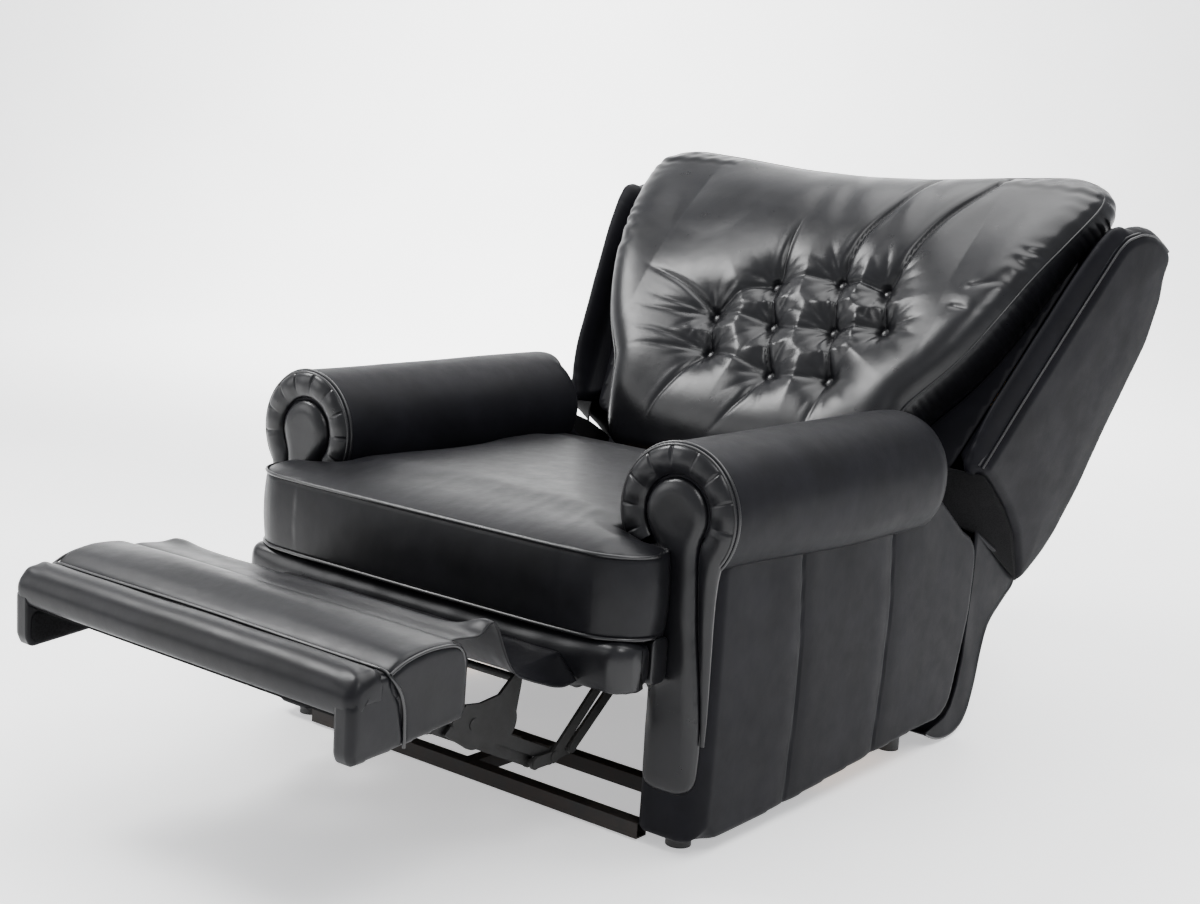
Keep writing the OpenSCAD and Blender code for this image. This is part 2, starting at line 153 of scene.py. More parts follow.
def soft(values, xs, ys):
    """Interpolation along a table with its corners eased."""
    t = np.linspace(xs[0], xs[-1], 241)
    y = np.interp(t, xs, ys)
    k = np.ones(23) / 23
    for _ in range(2):
        y = np.convolve(np.r_[[y[0]] * 11, y, [y[-1]] * 11], k, "valid")
    return np.interp(values, t, y)


def smooth(t):
    t = np.clip(t, 0.0, 1.0)
    return t * t * (3 - 2 * t)


def in_frame(points):
    """From mm measured from the arm fronts to metres in the frame."""
    p = np.asarray(points, float).copy()
    p[..., 1] += FRONT
    return p * 0.001


def from_back(x, yb, zb):
    """A point of the leaning back's own frame, in mm from the arm fronts."""
    x, yb, zb = np.broadcast_arrays(*(np.asarray(v, float) for v in (x, yb, zb)))
    y = HINGE[0] + yb * math.cos(LEAN) + zb * math.sin(LEAN)
    z = HINGE[1] - yb * math.sin(LEAN) + zb * math.cos(LEAN)
    return np.stack([x, y, z], -1)


def in_back(p):
    """Depth and height of points in the leaning back's own frame, in mm."""
    y, z = p[:, 1] - HINGE[0], p[:, 2] - HINGE[1]
    return y * math.cos(LEAN) - z * math.sin(LEAN), y * math.sin(LEAN) + z * math.cos(LEAN)


def on_back(u, v, w):
    """Places a panel drawn in (x, height) on the back, at depth w."""
    return from_back(u, w, v)


def side_on(u, v, w):
    """Places a panel drawn in (y, z) at x = w."""
    return np.stack([w, u, v], -1)


def from_wing(xw, yb, zw):
    """A point of the left wing's plane: xw out of its outer face, zw along the flare."""
    return from_back(WING_FOOT + xw * math.cos(FLARE) + zw * math.sin(FLARE), yb,
                     -xw * math.sin(FLARE) + zw * math.cos(FLARE))


def between(z):
    """Half width between the wings' inner faces at a height along the back."""
    return WING_FOOT - WING_THICK / math.cos(FLARE) + z * math.tan(FLARE)


def arc(x, y, r, a0, a1, n=10):
    """Points along an arc from angle a0 to a1, in degrees."""
    return [(x + r * math.cos(math.radians(a0 + (a1 - a0) * i / n)),
             y + r * math.sin(math.radians(a0 + (a1 - a0) * i / n))) for i in range(n + 1)]


def resample(points, n, closed=False):
    """n points spread evenly along a line or loop."""
    p = np.asarray(points, float)
    if closed:
        p = np.vstack([p, p[:1]])
    s = np.r_[0, np.cumsum(np.linalg.norm(np.diff(p, axis=0), axis=1))]
    t = np.linspace(0, s[-1], n + 1)[:-1] if closed else np.linspace(0, s[-1], n)
    return np.stack([np.interp(t, s, p[:, k]) for k in range(p.shape[1])], -1)


def rounded(points, n=160, passes=3, closed=True, width=2):
    """An evenly spaced line with its corners softened."""
    p = resample(points, n, closed)
    for _ in range(passes):
        q = p.copy()
        for k in range(1, width + 1):
            if closed:
                q += np.roll(p, k, 0) + np.roll(p, -k, 0)
            else:
                a = np.vstack([np.repeat(p[:1], k, 0), p[:-k]])
                b = np.vstack([p[k:], np.repeat(p[-1:], k, 0)])
                q += a + b
        q /= 2 * width + 1
        if not closed:
            q[0], q[-1] = p[0], p[-1]
        p = q
    return p


def near(points, line, closed=False):
    """Distance of 2-D points from a line, and the nearest point on it."""
    p = np.asarray(points, float)
    a = np.asarray(line, float)
    b = np.roll(a, -1, 0) if closed else a[1:]
    a = a if closed else a[:-1]
    best = np.full(len(p), 1e9)
    spot = np.zeros_like(p)
    for s, e in zip(a, b):
        d = e - s
        t = np.clip(((p - s) @ d) / max(d @ d, 1e-9), 0, 1)
        q = s + t[:, None] * d
        g = np.linalg.norm(p - q, axis=1)
        hit = g < best
        best[hit] = g[hit]
        spot[hit] = q[hit]
    return best, spot


def inside(points, loop):
    """Which of the 2-D points lie within a loop."""
    p = np.asarray(points, float)
    a = np.asarray(loop, float)
    b = np.roll(a, -1, 0)
    r = np.zeros(len(p), bool)
    for (x0, y0), (x1, y1) in zip(a, b):
        c = (y0 > p[:, 1]) != (y1 > p[:, 1])
        with np.errstate(divide="ignore", invalid="ignore"):
            r ^= c & (p[:, 0] < (x1 - x0) * (p[:, 1] - y0) / (y1 - y0) + x0)
    return r


def ripple(points, scale, seed=0.0):
    """Smooth noise from -1 to 1 at each point, for wrinkles."""
    shift = (seed, -seed, 2 * seed)
    return np.array([noise.noise(Vector([v / scale + k for v, k in zip(p, shift)]))
                     for p in points])


# ---- making pieces -------------------------------------------------------------------------

def deselect():
    for o in bpy.context.view_layer.objects:
        o.select_set(False)


def pick(obj):
    deselect()
    obj.select_set(True)
    bpy.context.view_layer.objects.active = obj


def piece(name, points, faces):
    """A mesh object from points in mm, with its faces pointing outwards."""
    me = bpy.data.meshes.new(name)
    me.from_pydata([tuple(p) for p in in_frame(points)], [], faces)
    bm = bmesh.new()
    bm.from_mesh(me)
    bmesh.ops.recalc_face_normals(bm, faces=bm.faces)
    bm.to_mesh(me)
    bm.free()
    obj = bpy.data.objects.new(name, me)
    bpy.context.scene.collection.objects.link(obj)
    me.shade_smooth()
    return obj


def places(obj):
    """The points of a mesh in mm from the arm fronts."""
    n = len(obj.data.vertices)
    p = np.empty(n * 3)
    obj.data.vertices.foreach_get("co", p)
    p = p.reshape(n, 3) * 1000
    p[:, 1] -= FRONT
    return p


def place_at(obj, points):
    obj.data.vertices.foreach_set("co", in_frame(points).ravel())
    obj.data.update()


def outward(obj):
    n = len(obj.data.vertices)
    v = np.empty(n * 3)
    obj.data.vertices.foreach_get("normal", v)
    return v.reshape(n, 3)


def apply_modifier(obj, kind, **settings):
    pick(obj)
    m = obj.modifiers.new(kind.title(), kind)
    for k, v in settings.items():
        setattr(m, k, v)
    bpy.ops.object.modifier_apply(modifier=m.name)


def mirrored(obj, name):
    """The same piece on the other side, with its own mesh and none of its notes."""
    new = obj.copy()
    new.data = obj.data.copy()
    new.name = new.data.name = name
    for key in list(new.keys()):
        del new[key]
    bpy.context.scene.collection.objects.link(new)
    new.data.transform(Matrix.Diagonal((-1, 1, 1, 1)))
    new.data.flip_normals()
    return new


def loft(name, rings, sheet=False):
    """
    A closed form from equal rings of points. Its ends are drawn to their centres, or, where
    each ring is the section of a sheet that runs out and back, closed across its thickness.
    """
    r = np.asarray(rings, float)
    n, m = r.shape[:2]
    pts = list(r.reshape(-1, 3))
    faces = [(i * m + j, i * m + (j + 1) % m, (i + 1) * m + (j + 1) % m, (i + 1) * m + j)
             for i in range(n - 1) for j in range(m)]
    if sheet:
        last = (n - 1) * m
        half = range(m // 2 - 1)
        faces += [(m - 1 - j, m - 2 - j, j + 1, j) for j in half]
        faces += [(last + j, last + j + 1, last + m - 2 - j, last + m - 1 - j) for j in half]
        return piece(name, pts, faces)
    pts += [r[0].mean(0), r[-1].mean(0)]
    faces += [(n * m, (j + 1) % m, j) for j in range(m)]
    faces += [(n * m + 1, (n - 1) * m + j, (n - 1) * m + (j + 1) % m) for j in range(m)]
    return piece(name, pts, faces)


def ribbon(name, one, two, thick=4.0, n=90, m=14, sway=0.0):
    """A cloth panel between two lines in space, thickened towards the middle of the chair."""
    a, b = resample(one, n), resample(two, n)
    pts, faces = [], []
    for side in (0, 1):
        for i in range(n):
            for j in range(m):
                q = a[i] + (b[i] - a[i]) * j / (m - 1)
                t = math.sin(math.pi * j / (m - 1)) * math.sin(math.pi * i / (n - 1))
                wave = t * sway * math.sin(q[2] / 37 + q[1] / 29)
                pts.append((q[0] - side * thick + wave, q[1], q[2]))
    k = n * m
    for i in range(n - 1):
        for j in range(m - 1):
            q = (i * m + j, i * m + j + 1, (i + 1) * m + j + 1, (i + 1) * m + j)
            faces += [q, tuple(k + v for v in reversed(q))]
    edge = [i * m for i in range(n)] + [(n - 1) * m + j for j in range(1, m)] \
        + [i * m + m - 1 for i in range(n - 2, -1, -1)] + [j for j in range(m - 2, 0, -1)]
    faces += [(e, f, k + f, k + e) for e, f in zip(edge, edge[1:] + edge[:1])]
    return piece(name, pts, faces)


def box_blur(field, reach, passes=3):
    """A field of values averaged over reach cells each way."""
    k = np.ones(2 * reach + 1) / (2 * reach + 1)
    for _ in range(passes):
        for axis in (0, 1):
            f = np.moveaxis(field, axis, -1)
            f = np.pad(f, [(0, 0), (reach, reach)], mode="edge")
            f = np.apply_along_axis(lambda r: np.convolve(r, k, "valid"), -1, f)
            field = np.moveaxis(f, -1, axis)
    return field


def pad(name, outline, step, top, under, frame_of, rows=6, edge=None, gather=None, hub=None,
        ease=0):
    """
    A cushion or panel over a flat outline. top and under give the two faces' heights from
    (u, v, gap to the outline), frame_of puts (u, v, height) in the room, and edge gives how
    far the wall between the faces stands out. With a hub the under face is drawn in rings
    towards it, and ease rounds the ridges of the gap over that many mm. Returns the object
    with its upper and lower rims.
    """
    loop = np.asarray(outline, float)
    lo, hi = loop.min(0), loop.max(0)
    nu, nv = [int(math.ceil(k / step)) + 1 for k in (hi - lo)]
    u = lo[0] + (hi[0] - lo[0]) * np.linspace(0, 1, nu)
    v = lo[1] + (hi[1] - lo[1]) * np.linspace(0, 1, nv)
    g = np.stack(np.meshgrid(u, v, indexing="ij"), -1).reshape(-1, 2)
    gap, spot = near(g, loop, True)
    keep = (inside(g, loop) & (gap > 0.25 * step)) | (gap < 0.5 * step)
    keep = keep.reshape(nu, nv)
    calm = None
    if ease:
        sign = np.where(inside(g, loop), gap, -gap).reshape(nu, nv)
        calm = box_blur(sign, max(1, int(ease / step / 2))).ravel()
    cell = keep[:-1, :-1] & keep[1:, :-1] & keep[1:, 1:] & keep[:-1, 1:]
    quads = []
    for i, j in zip(*np.nonzero(cell)):
        quads.append((i * nv + j, (i + 1) * nv + j, (i + 1) * nv + j + 1, i * nv + j + 1))
    count = {}
    for q in quads:
        for k in range(4):
            count[(q[k], q[(k + 1) % 4])] = 1
    follow = {a: b for a, b in count if (b, a) not in count}
    start = min(follow)
    rim = [start]
    while follow[rim[-1]] != start:
        rim.append(follow[rim[-1]])
        if len(rim) > len(follow):
            raise RuntimeError(name + ": the outline pinches")
    used = sorted({k for q in quads for k in q})
    number = {k: i for i, k in enumerate(used)}
    quads = [tuple(number[k] for k in q) for q in quads]
    rim = [number[k] for k in rim]
    uv = g[used].copy()
    uv[rim] = spot[used][rim]
    gap = near(uv, loop, True)[0]
    gap[rim] = 0.0
    if ease:
        w = smooth(gap / ease)
        gap = gap * (1 - w) + np.maximum(calm[used], 0) * w
    n, m = len(uv), len(rim)
    a = top(uv[:, 0], uv[:, 1], gap)
    r = uv[rim]
    low = under(r[:, 0], r[:, 1], np.zeros(m))
    pts = [frame_of(uv[:, 0], uv[:, 1], a)]
    faces = list(quads)
    total = n
    t = np.roll(r, -1, 0) - np.roll(r, 1, 0)
    t /= np.maximum(np.linalg.norm(t, axis=1), 1e-9)[:, None]
    out = np.stack([t[:, 1], -t[:, 0]], -1)
    for _ in range(3):
        out = out + np.roll(out, 1, 0) + np.roll(out, -1, 0)
        out /= np.maximum(np.linalg.norm(out, axis=1), 1e-9)[:, None]
    amount = np.zeros(m) if edge is None else edge(r[:, 0], r[:, 1])
    levels = [list(rim)]
    for k in range(1, rows):
        s = k / rows
        w = a[rim] * (1 - s) + low * s
        bulge = amount * math.sin(math.pi * s) ** 0.8
        if gather is not None:
            bulge = bulge + gather(r[:, 0], r[:, 1], s, np.arange(m))
        q = r + out * bulge[:, None]
        levels.append(list(range(total, total + m)))
        total += m
        pts.append(frame_of(q[:, 0], q[:, 1], w))
    if hub is None:
        b = under(uv[:, 0], uv[:, 1], gap)
        pts.append(frame_of(uv[:, 0], uv[:, 1], b))
        faces += [tuple(total + k for k in reversed(q)) for q in quads]
        levels.append([total + k for k in rim])
        total += n
    else:
        for k in range(8):
            q = r + (np.array(hub, float) - r) * (k / 8)
            b = under(q[:, 0], q[:, 1], near(q, loop, True)[0] if k else np.zeros(m))
            levels.append(list(range(total, total + m)))
            total += m
            pts.append(frame_of(q[:, 0], q[:, 1], b))
        q = np.array([hub], float)
        pts.append(frame_of(q[:, 0], q[:, 1], under(q[:, 0], q[:, 1], near(q, loop, True)[0])))
        faces += [(levels[-1][j], levels[-1][(j + 1) % m], total) for j in range(m)]
    for x, y in zip(levels[:-1], levels[1:]):
        faces += [(x[j], y[j], y[(j + 1) % m], x[(j + 1) % m]) for j in range(m)]
    obj = piece(name, np.vstack(pts), faces)
    return obj, frame_of(r[:, 0], r[:, 1], a[rim]), frame_of(r[:, 0], r[:, 1], low)


def puff(obj, held, pressure=4.0, cap=8.0, grow=0.0, stiff=12.0, calm=8):
    """
    Swells a pad by a short cloth run with air inside. held gives how firmly each point is
    sewn down, 0 to 1, cap the furthest that a point may move, in mm, and calm how often the
    movement is evened out between neighbours, which leaves only the wider folds.
    """
    pick(obj)
    before = places(obj)
    group = obj.vertex_groups.new(name="sewn")
    w = np.clip(held(before), 0, 1)
    step = 0.25
    for level in (0.25, 0.5, 0.75, 1.0):
        ids = np.nonzero((w > level - step) & (w <= level))[0]
        if len(ids):
            group.add([int(i) for i in ids], level, "REPLACE")
    m = obj.modifiers.new("Cloth", "CLOTH")
    c = m.settings
    c.quality = 4
    c.mass = 0.4
    c.tension_stiffness = c.compression_stiffness = stiff
    c.shear_stiffness = stiff * 0.5
    c.bending_stiffness = 0.6
    c.vertex_group_mass = "sewn"
    c.pin_stiffness = 1.0
    c.shrink_min = -grow
    c.use_pressure = True
    c.uniform_pressure_force = pressure
    c.effector_weights.gravity = 0.0
    m.collision_settings.use_collision = False
    m.collision_settings.use_self_collision = False
    m.point_cache.frame_start, m.point_cache.frame_end = 1, CLOTH_FRAMES
    scene = bpy.context.scene
    for f in range(1, CLOTH_FRAMES + 1):
        scene.frame_set(f)
    after = places(obj.evaluated_get(bpy.context.evaluated_depsgraph_get()))
    obj.modifiers.remove(m)
    obj.vertex_groups.remove(group)
    scene.frame_set(1)
    move = after - before
    far = np.linalg.norm(move, axis=1)
    if not np.isfinite(far).all():
        raise RuntimeError(obj.name + ": the cloth run failed")
    move *= np.minimum(1, cap / np.maximum(far, 1e-6))[:, None]
    ends = np.empty(len(obj.data.edges) * 2, int)
    obj.data.edges.foreach_get("vertices", ends)
    ends = ends.reshape(-1, 2)
    share = np.maximum(np.bincount(ends.ravel(), minlength=len(before)), 1)
    for _ in range(calm):
        total = np.stack([np.bincount(ends[:, 0], move[ends[:, 1], k], len(before))
                          + np.bincount(ends[:, 1], move[ends[:, 0], k], len(before))
                          for k in range(3)], -1)
        move = 0.5 * move + 0.5 * total / share[:, None]
    place_at(obj, before + move)


def welt(name, points, extra=0.0, closed=False, passes=2):
    """A round welt cord along a line, extra mm thicker in radius than the usual one."""
    deselect()
    bpy.ops.curve.primitive_nurbs_path_add(enter_editmode=False)
    obj = bpy.context.object
    obj.name = obj.data.name = name
    obj.location = (0, 0, 0)
    p = np.asarray(points, float)
    length = np.linalg.norm(np.diff(p, axis=0), axis=1).sum()
    n = int(max(8, min(260, length / 6)))
    p = in_frame(rounded(p, n, passes, closed, 1))
    curve = obj.data
    curve.splines.clear()
    line = curve.splines.new("POLY")
    line.points.add(len(p) - 1)
    for k, q in enumerate(p):
        line.points[k].co = (*q, 1)
    line.use_cyclic_u = closed
    curve.dimensions = "3D"
    curve.bevel_depth = sizes().welt_radius + extra * 0.001
    curve.bevel_resolution = 2
    curve.use_fill_caps = True
    pick(obj)
    bpy.ops.object.convert(target="MESH")
    obj = bpy.context.object
    obj.data.shade_smooth()
    return obj


def dress(obj, body, material, nodes=()):
    """Gives a piece its material and says what it rides on and stands for."""
    obj.data.materials.clear()
    obj.data.materials.append(bpy.data.materials[material])
    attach(obj, body)
    if nodes:
        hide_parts(*nodes)
    return obj


def both(obj, body, material, nodes=()):
    """Dresses a left piece, and a mirrored one that stands for the right-hand nodes."""
    dress(obj, body, material, nodes)
    other = mirrored(obj, obj.name.replace("_left", "_right"))
    dress(other, body, material, [n.replace("_left", "_right") for n in nodes])


# ---- materials -----------------------------------------------------------------------------

def node(tree, kind, settings=None, **links):
    """Adds a node with its settings; links are sockets or values by input name."""
    n = tree.nodes.new(kind)
    for k, v in (settings or {}).items():
        setattr(n, k, v)
    for k, v in links.items():
        k = k.replace("_", " ")
        socket = n.inputs[int(k[1:])] if k[0] == "i" and k[1:].isdigit() else n.inputs[k]
        if isinstance(v, bpy.types.NodeSocket):
            tree.links.new(v, socket)
        else:
            socket.default_value = v
    return n


def blank(name):
    m = bpy.data.materials.new(name)
    m.use_nodes = True
    t = m.node_tree
    t.nodes.clear()
    shader = node(t, "ShaderNodeBsdfPrincipled")
    node(t, "ShaderNodeOutputMaterial", Surface=shader.outputs[0])
    coord = node(t, "ShaderNodeTexCoord").outputs["Object"]
    return t, shader, coord


def ramp(tree, fac, stops):
    n = node(tree, "ShaderNodeValToRGB", Fac=fac)
    e = n.color_ramp.elements
    while len(e) < len(stops):
        e.new(0.5)
    for k, (at, colour) in enumerate(stops):
        e[k].position = at
        e[k].color = colour if len(colour) == 4 else (*colour, 1)
    return n.outputs["Color"]


def grey(v):
    return (v, v, v, 1)


def coat(t, s, fac, colours=None, rough=None, bump=None):
    """Leads one texture to a shader's colour and roughness, and through a bump to its normal."""
    if colours:
        t.links.new(ramp(t, fac, colours), s.inputs["Base Color"])
    if rough:
        t.links.new(ramp(t, fac, [(at, grey(v)) for at, v in rough]), s.inputs["Roughness"])
    if bump:
        b = node(t, "ShaderNodeBump", Strength=bump[0], Distance=bump[1], Height=fac)
        t.links.new(b.outputs[0], s.inputs["Normal"])


def leather(name, low, high, rough, creases, shine):
    """
    Aniline cowhide, drum dyed black and waxed: an uneven black with a soft wide gloss,
    sharper where it is stretched, over a pebble grain.
    """
    t, s, co = blank(name)
    # slow clouding of the dye, about 90 mm across
    cloud = node(t, "ShaderNodeTexNoise", Vector=co, Scale=11.0, Detail=4.0, Roughness=0.6)
    coat(t, s, cloud.outputs["Fac"], [(0.30, low), (0.72, srgb(high))])
    # rubbed and waxed patches about 40 mm across
    worn = node(t, "ShaderNodeTexNoise", Vector=co, Scale=26.0, Detail=5.0, Roughness=0.65)
    coat(t, s, worn.outputs["Fac"], rough=[(0.25, rough[0]), (0.75, rough[1])])
    s.inputs["IOR"].default_value = 1.5
    s.inputs["Specular IOR Level"].default_value = shine
    # pebble grain, really about 1 mm and drawn at 2.5 mm so that it shows
    grain = node(t, "ShaderNodeTexVoronoi", {"feature": "DISTANCE_TO_EDGE"}, Vector=co, Scale=400.0)
    grain = ramp(t, grain.outputs["Distance"], [(0.0, grey(0)), (0.25, grey(1))])
    # fine creases of worked hide, 15 to 40 mm apart
    fold = node(t, "ShaderNodeTexNoise", Vector=co, Scale=34.0, Detail=3.0, Roughness=0.5)
    b1 = node(t, "ShaderNodeBump", Strength=0.05, Distance=0.0006, Height=grain)
    b2 = node(t, "ShaderNodeBump", Strength=creases, Distance=0.004,
              Height=fold.outputs["Fac"], Normal=b1.outputs[0])
    t.links.new(b2.outputs[0], s.inputs["Normal"])


def metal(name, code, rough, dust):
    """Mild steel strip, pressed and dip-painted: dull, with dust on it."""
    t, s, co = blank(name)
    n = node(t, "ShaderNodeTexNoise", Vector=co, Scale=18.0, Detail=6.0, Roughness=0.7)
    coat(t, s, n.outputs["Fac"], [(0.38, srgb(code)), (0.68, srgb(dust))],
         [(0.3, rough), (0.7, min(1, rough + 0.25))])
    s.inputs["Metallic"].default_value = 0.35
    fine = node(t, "ShaderNodeTexNoise", Vector=co, Scale=240.0, Detail=3.0)
    coat(t, s, fine.outputs["Fac"], bump=(0.12, 0.0008))


def make_materials():
    c = bpy.context.scene.armchair_colours
    leather("leather_waxed_black", c.waxed, "#111114", (0.26, 0.35), 0.07, 0.31)
    leather("leather_arm_black", c.arm, "#131317", (0.46, 0.56), 0.08, 0.07)
    # seat and footrest: the wax is worn off by use, so the gloss is weaker
    leather("leather_worn_black", c.worn, "#141417", (0.30, 0.42), 0.12, 0.16)
    leather("leather_welt_black", c.welt, "#111113", (0.26, 0.34), 0.0, 0.50)
    metal("steel_painted_black", "#090909", 0.55, "#151413")
    metal("steel_rail_dusty", "#131211", 0.60, "#2b2522")
    # drawn spring wire: bright grey with a grey bloom
    t, s, co = blank("steel_spring_wire")
    s.inputs["Metallic"].default_value = 1.0
    n = node(t, "ShaderNodeTexNoise", Vector=co, Scale=60.0, Detail=3.0)
    coat(t, s, n.outputs["Fac"], [(0.3, srgb("#6e7174")), (0.7, srgb("#94989b"))],
         [(0.3, 0.30), (0.7, 0.45)])
    # sawn softwood: pale boards with 6 mm growth rings, stretched along the board
    t, s, co = blank("softwood_sawn")
    mp = node(t, "ShaderNodeMapping", Vector=co)
    mp.inputs["Scale"].default_value = (1.0, 1.0, 0.25)
    n = node(t, "ShaderNodeTexWave", {"wave_type": "BANDS"}, Vector=mp.outputs[0],
             Scale=26.0, Distortion=6.0, Detail=3.0, Detail_Scale=1.6)
    coat(t, s, n.outputs["Fac"], [(0.2, srgb("#b58a58")), (0.8, srgb("#cfa774"))],
         [(0.2, 0.62), (0.8, 0.74)], (0.15, 0.001))
    # injection-moulded polypropylene: even black with a faint spark texture
    t, s, co = blank("polypropylene_moulded")
    n = node(t, "ShaderNodeTexNoise", Vector=co, Scale=500.0, Detail=2.0)
    s.inputs["Base Color"].default_value = srgb("#111111")
    coat(t, s, n.outputs["Fac"], None, [(0.3, 0.45), (0.7, 0.6)], (0.1, 0.0004))
    # spun-bonded lining cloth: flat black fibres with a dotted bond pattern 3 mm apart; on the
    # sheets that close the gaps behind the arm rolls, under the wings and beside the back cushion
    # its black is painted shade
    t, s, co = blank("lining_spunbond_and_shade")
    n = node(t, "ShaderNodeTexVoronoi", {"feature": "F1"}, Vector=co, Scale=330.0)
    s.inputs["Roughness"].default_value = 0.9
    s.inputs["Specular IOR Level"].default_value = 0.1
    coat(t, s, n.outputs["Distance"], [(0.2, srgb("#080809")), (0.6, srgb("#111112"))],
         None, (0.2, 0.0005))
    # matt acrylic sweep lit from below: a near-white ground whose shadows stay soft
    t, s, co = blank("acrylic_sweep_backlit")
    n = node(t, "ShaderNodeTexNoise", Vector=co, Scale=1.3, Detail=3.0)
    coat(t, s, n.outputs["Fac"], [(0.3, c.floor), (0.7, srgb("#fbfbfa"))],
         [(0.3, 0.50), (0.7, 0.60)])
    s.inputs["Emission Color"].default_value = srgb("#fdfdff")
    s.inputs["Emission Strength"].default_value = 0.60


NODE_FINISH = {
    "steel_rail_dusty": ["front_rail", "mid_rail", "rear_rail", "centre_rail"],
    "polypropylene_moulded": ["feet"],
    "steel_spring_wire": ["seat_springs"],
    "softwood_sawn": ["seat_rail_front", "seat_rail_rear", "back_rail_top", "back_rail_lower"],
    "lining_spunbond_and_shade": ["dust_cover", "footrest_board"],
    "steel_painted_black": ["torque_tube", "support_bar"],
}
# frame parts that there are a left and a right one of
SIDED_FINISH = {
    "softwood_sawn": ["arm_frame", "seat_rail", "back_rib"],
    "steel_painted_black": ["side_plate", "front_link", "rear_link", "main_link", "short_link",
                            "footrest_bracket", "back_bracket"],
}
for finish, parts in SIDED_FINISH.items():
    NODE_FINISH[finish] += [part + side for part in parts for side in ("_left", "_right")]


# ---- operators, one for each piece or group ------------------------------------------------

class ARMCHAIR_OT_finishes(bpy.types.Operator):
    """Makes the materials and gives each frame part its own"""
    bl_idname = "armchair.finishes"
    bl_label = "Finishes"

    def execute(self, context):
        make_materials()
        for material, nodes in NODE_FINISH.items():
            for n in nodes:
                me = frame["nodes"][n].data
                me.materials.clear()
                me.materials.append(bpy.data.materials[material])
        return {"FINISHED"}


def roll_floor(x, y, gap=2.5):
    """Height of the arm rolls' underside over a point of the seat, in mm."""
    r = mm(sizes().roll_radius) + gap
    off = np.abs(np.abs(x) - ROLL_X)
    low = ROLL_Z - np.sqrt(np.maximum(r * r - np.minimum(off, r) ** 2, 0))
    return np.where((off < r) & (y > -16), low, NO_LIMIT)


class ARMCHAIR_OT_seat(bpy.types.Operator):
    """T-shaped seat cushion with its two welts"""
    bl_idname = "armchair.seat"
    bl_label = "Seat Cushion"

    def execute(self, context):
        s = sizes()
        welt_z, crown, base = mm(s.seat_welt), mm(s.seat_crown), SEAT_BASE
        half = [(345, 628), (345, -14), (398, -16), (402, -40), (402, -66), (393, -88), (371, -108),
                (339, -124), (250, -129), (0, -131)]
        loop = half + [(-x, y) for x, y in reversed(half[:-1])]
        loop = rounded(loop, 520, 2, True, 2)

        def top(x, y, gap):
            z = welt_z + crown * (1 - np.exp(-gap / 60)) - 4 * smooth((y - 430) / 200) * crown / 30
            z -= 16 * smooth((y - 560) / 70)
            return np.minimum(z, roll_floor(x, y))

        def under(x, y, gap):
            return base + 0 * gap

        def edge(x, y):
            return np.where(y < -16, 5.0, np.where(y > 620, 3.0, 1.0))

        obj, rim, _ = pad("seat_cushion_cover", loop, 7, top, under,
                          lambda u, v, w: np.stack([u, v, w], -1), 12, edge)
        puff(obj, lambda p: np.maximum.reduce([
            np.exp(-np.abs(p[:, 2] - welt_z) / 4) * (p[:, 1] < -10),
            (p[:, 2] < base + 3) * 1.0, (p[:, 1] > 500) * 1.0,
            (np.abs(p[:, 0]) > 300) * (p[:, 1] > -14) * 1.0]),
            3.0, 7.0, 0.004, calm=4)
        p = places(obj)
        under_rolls = np.where(p[:, 2] > 400, roll_floor(p[:, 0], p[:, 1], 1.5), NO_LIMIT)
        p[:, 2] = np.minimum(p[:, 2], under_rolls)
        place_at(obj, p)
        dress(obj, "base", "leather_worn_black", ["seat_cushion"])
        front = np.array([q for q in rim if q[1] < 40])
        order = np.argsort(np.arctan2(front[:, 0], -(front[:, 1] - 200)))
        for name, z in (("seat_welt_upper", welt_z), ("seat_welt_lower", base + 2)):
            q = front[order].copy()
            q[:, 2] = z
            q = q[np.abs(q[:, 0]) < 402.5]
            c = np.array([0, 200, 0])
            d = q - c
            d[:, 2] = 0
            q = q + d / np.linalg.norm(d, axis=1)[:, None] * 2.0
            dress(welt(name, q, 0.7), "base", "leather_welt_black")
        return {"FINISHED"}


class ARMCHAIR_OT_apron(bpy.types.Operator):
    """Padded front band below the seat cushion"""
    bl_idname = "armchair.apron"
    bl_label = "Apron"

    def execute(self, context):
        ring = rounded([(-56, 338), (-56, 278), (-70, 262), (-90, 253)]
                       + arc(-107, 268, 17, 250, 180, 5)
                       + [(-128, 300)] + arc(-111, 323, 16, 180, 92, 5), 64, 2)
        xs = np.r_[-403, -401, -396, -388, np.linspace(-380, 380, 120), 388, 396, 401, 403]
        rings = []
        for x in xs:
            q = ring.copy()
            e = max(0, (abs(x) - 372) / 31)
            c = np.array([-82, 300])
            q = c + (q - c) * (1 - 0.30 * e ** 3)
            front = q[:, 0] < -85
            wave = 1.6 * math.sin(x / 47.0) * math.sin(x / 19.0 + 1)
            q[:, 0] += np.where(front, 14 * e ** 2 + wave, 0)
            # a flat underside, higher at the ends
            low = 264.5 if abs(x) > 314 else 250
            q[:, 1] = np.maximum(q[:, 1], low - 8 * smooth((318 - abs(x)) / 6) * (abs(x) > 312))
            rings.append(np.stack([np.full(len(q), x), q[:, 0], q[:, 1]], -1))
        obj = loft("apron_cover", rings)
        puff(obj, lambda p: (p[:, 1] > -80) * 1.0 + (np.abs(p[:, 0]) > 392) * 1.0, 2.5, 4.0,
             calm=6)
        dress(obj, "base", "leather_waxed_black", ["apron"])
        # the leather returns behind each end of the band
        ring = rounded([(-55, 337.5), (-55, 267), (-17, 267), (-17, 337.5)], 40, 1)
        back = across("apron_return_left", ring, 345, 402.5, 14, 4)
        both(back, "base", "leather_waxed_black")
        return {"FINISHED"}


SEAMS = [[(238, 470), (240, 423), (252, 300), (254, 200), (245, 20)],
         [(527, 470), (528, 413), (536, 296), (528, 142), (519, 40)]]


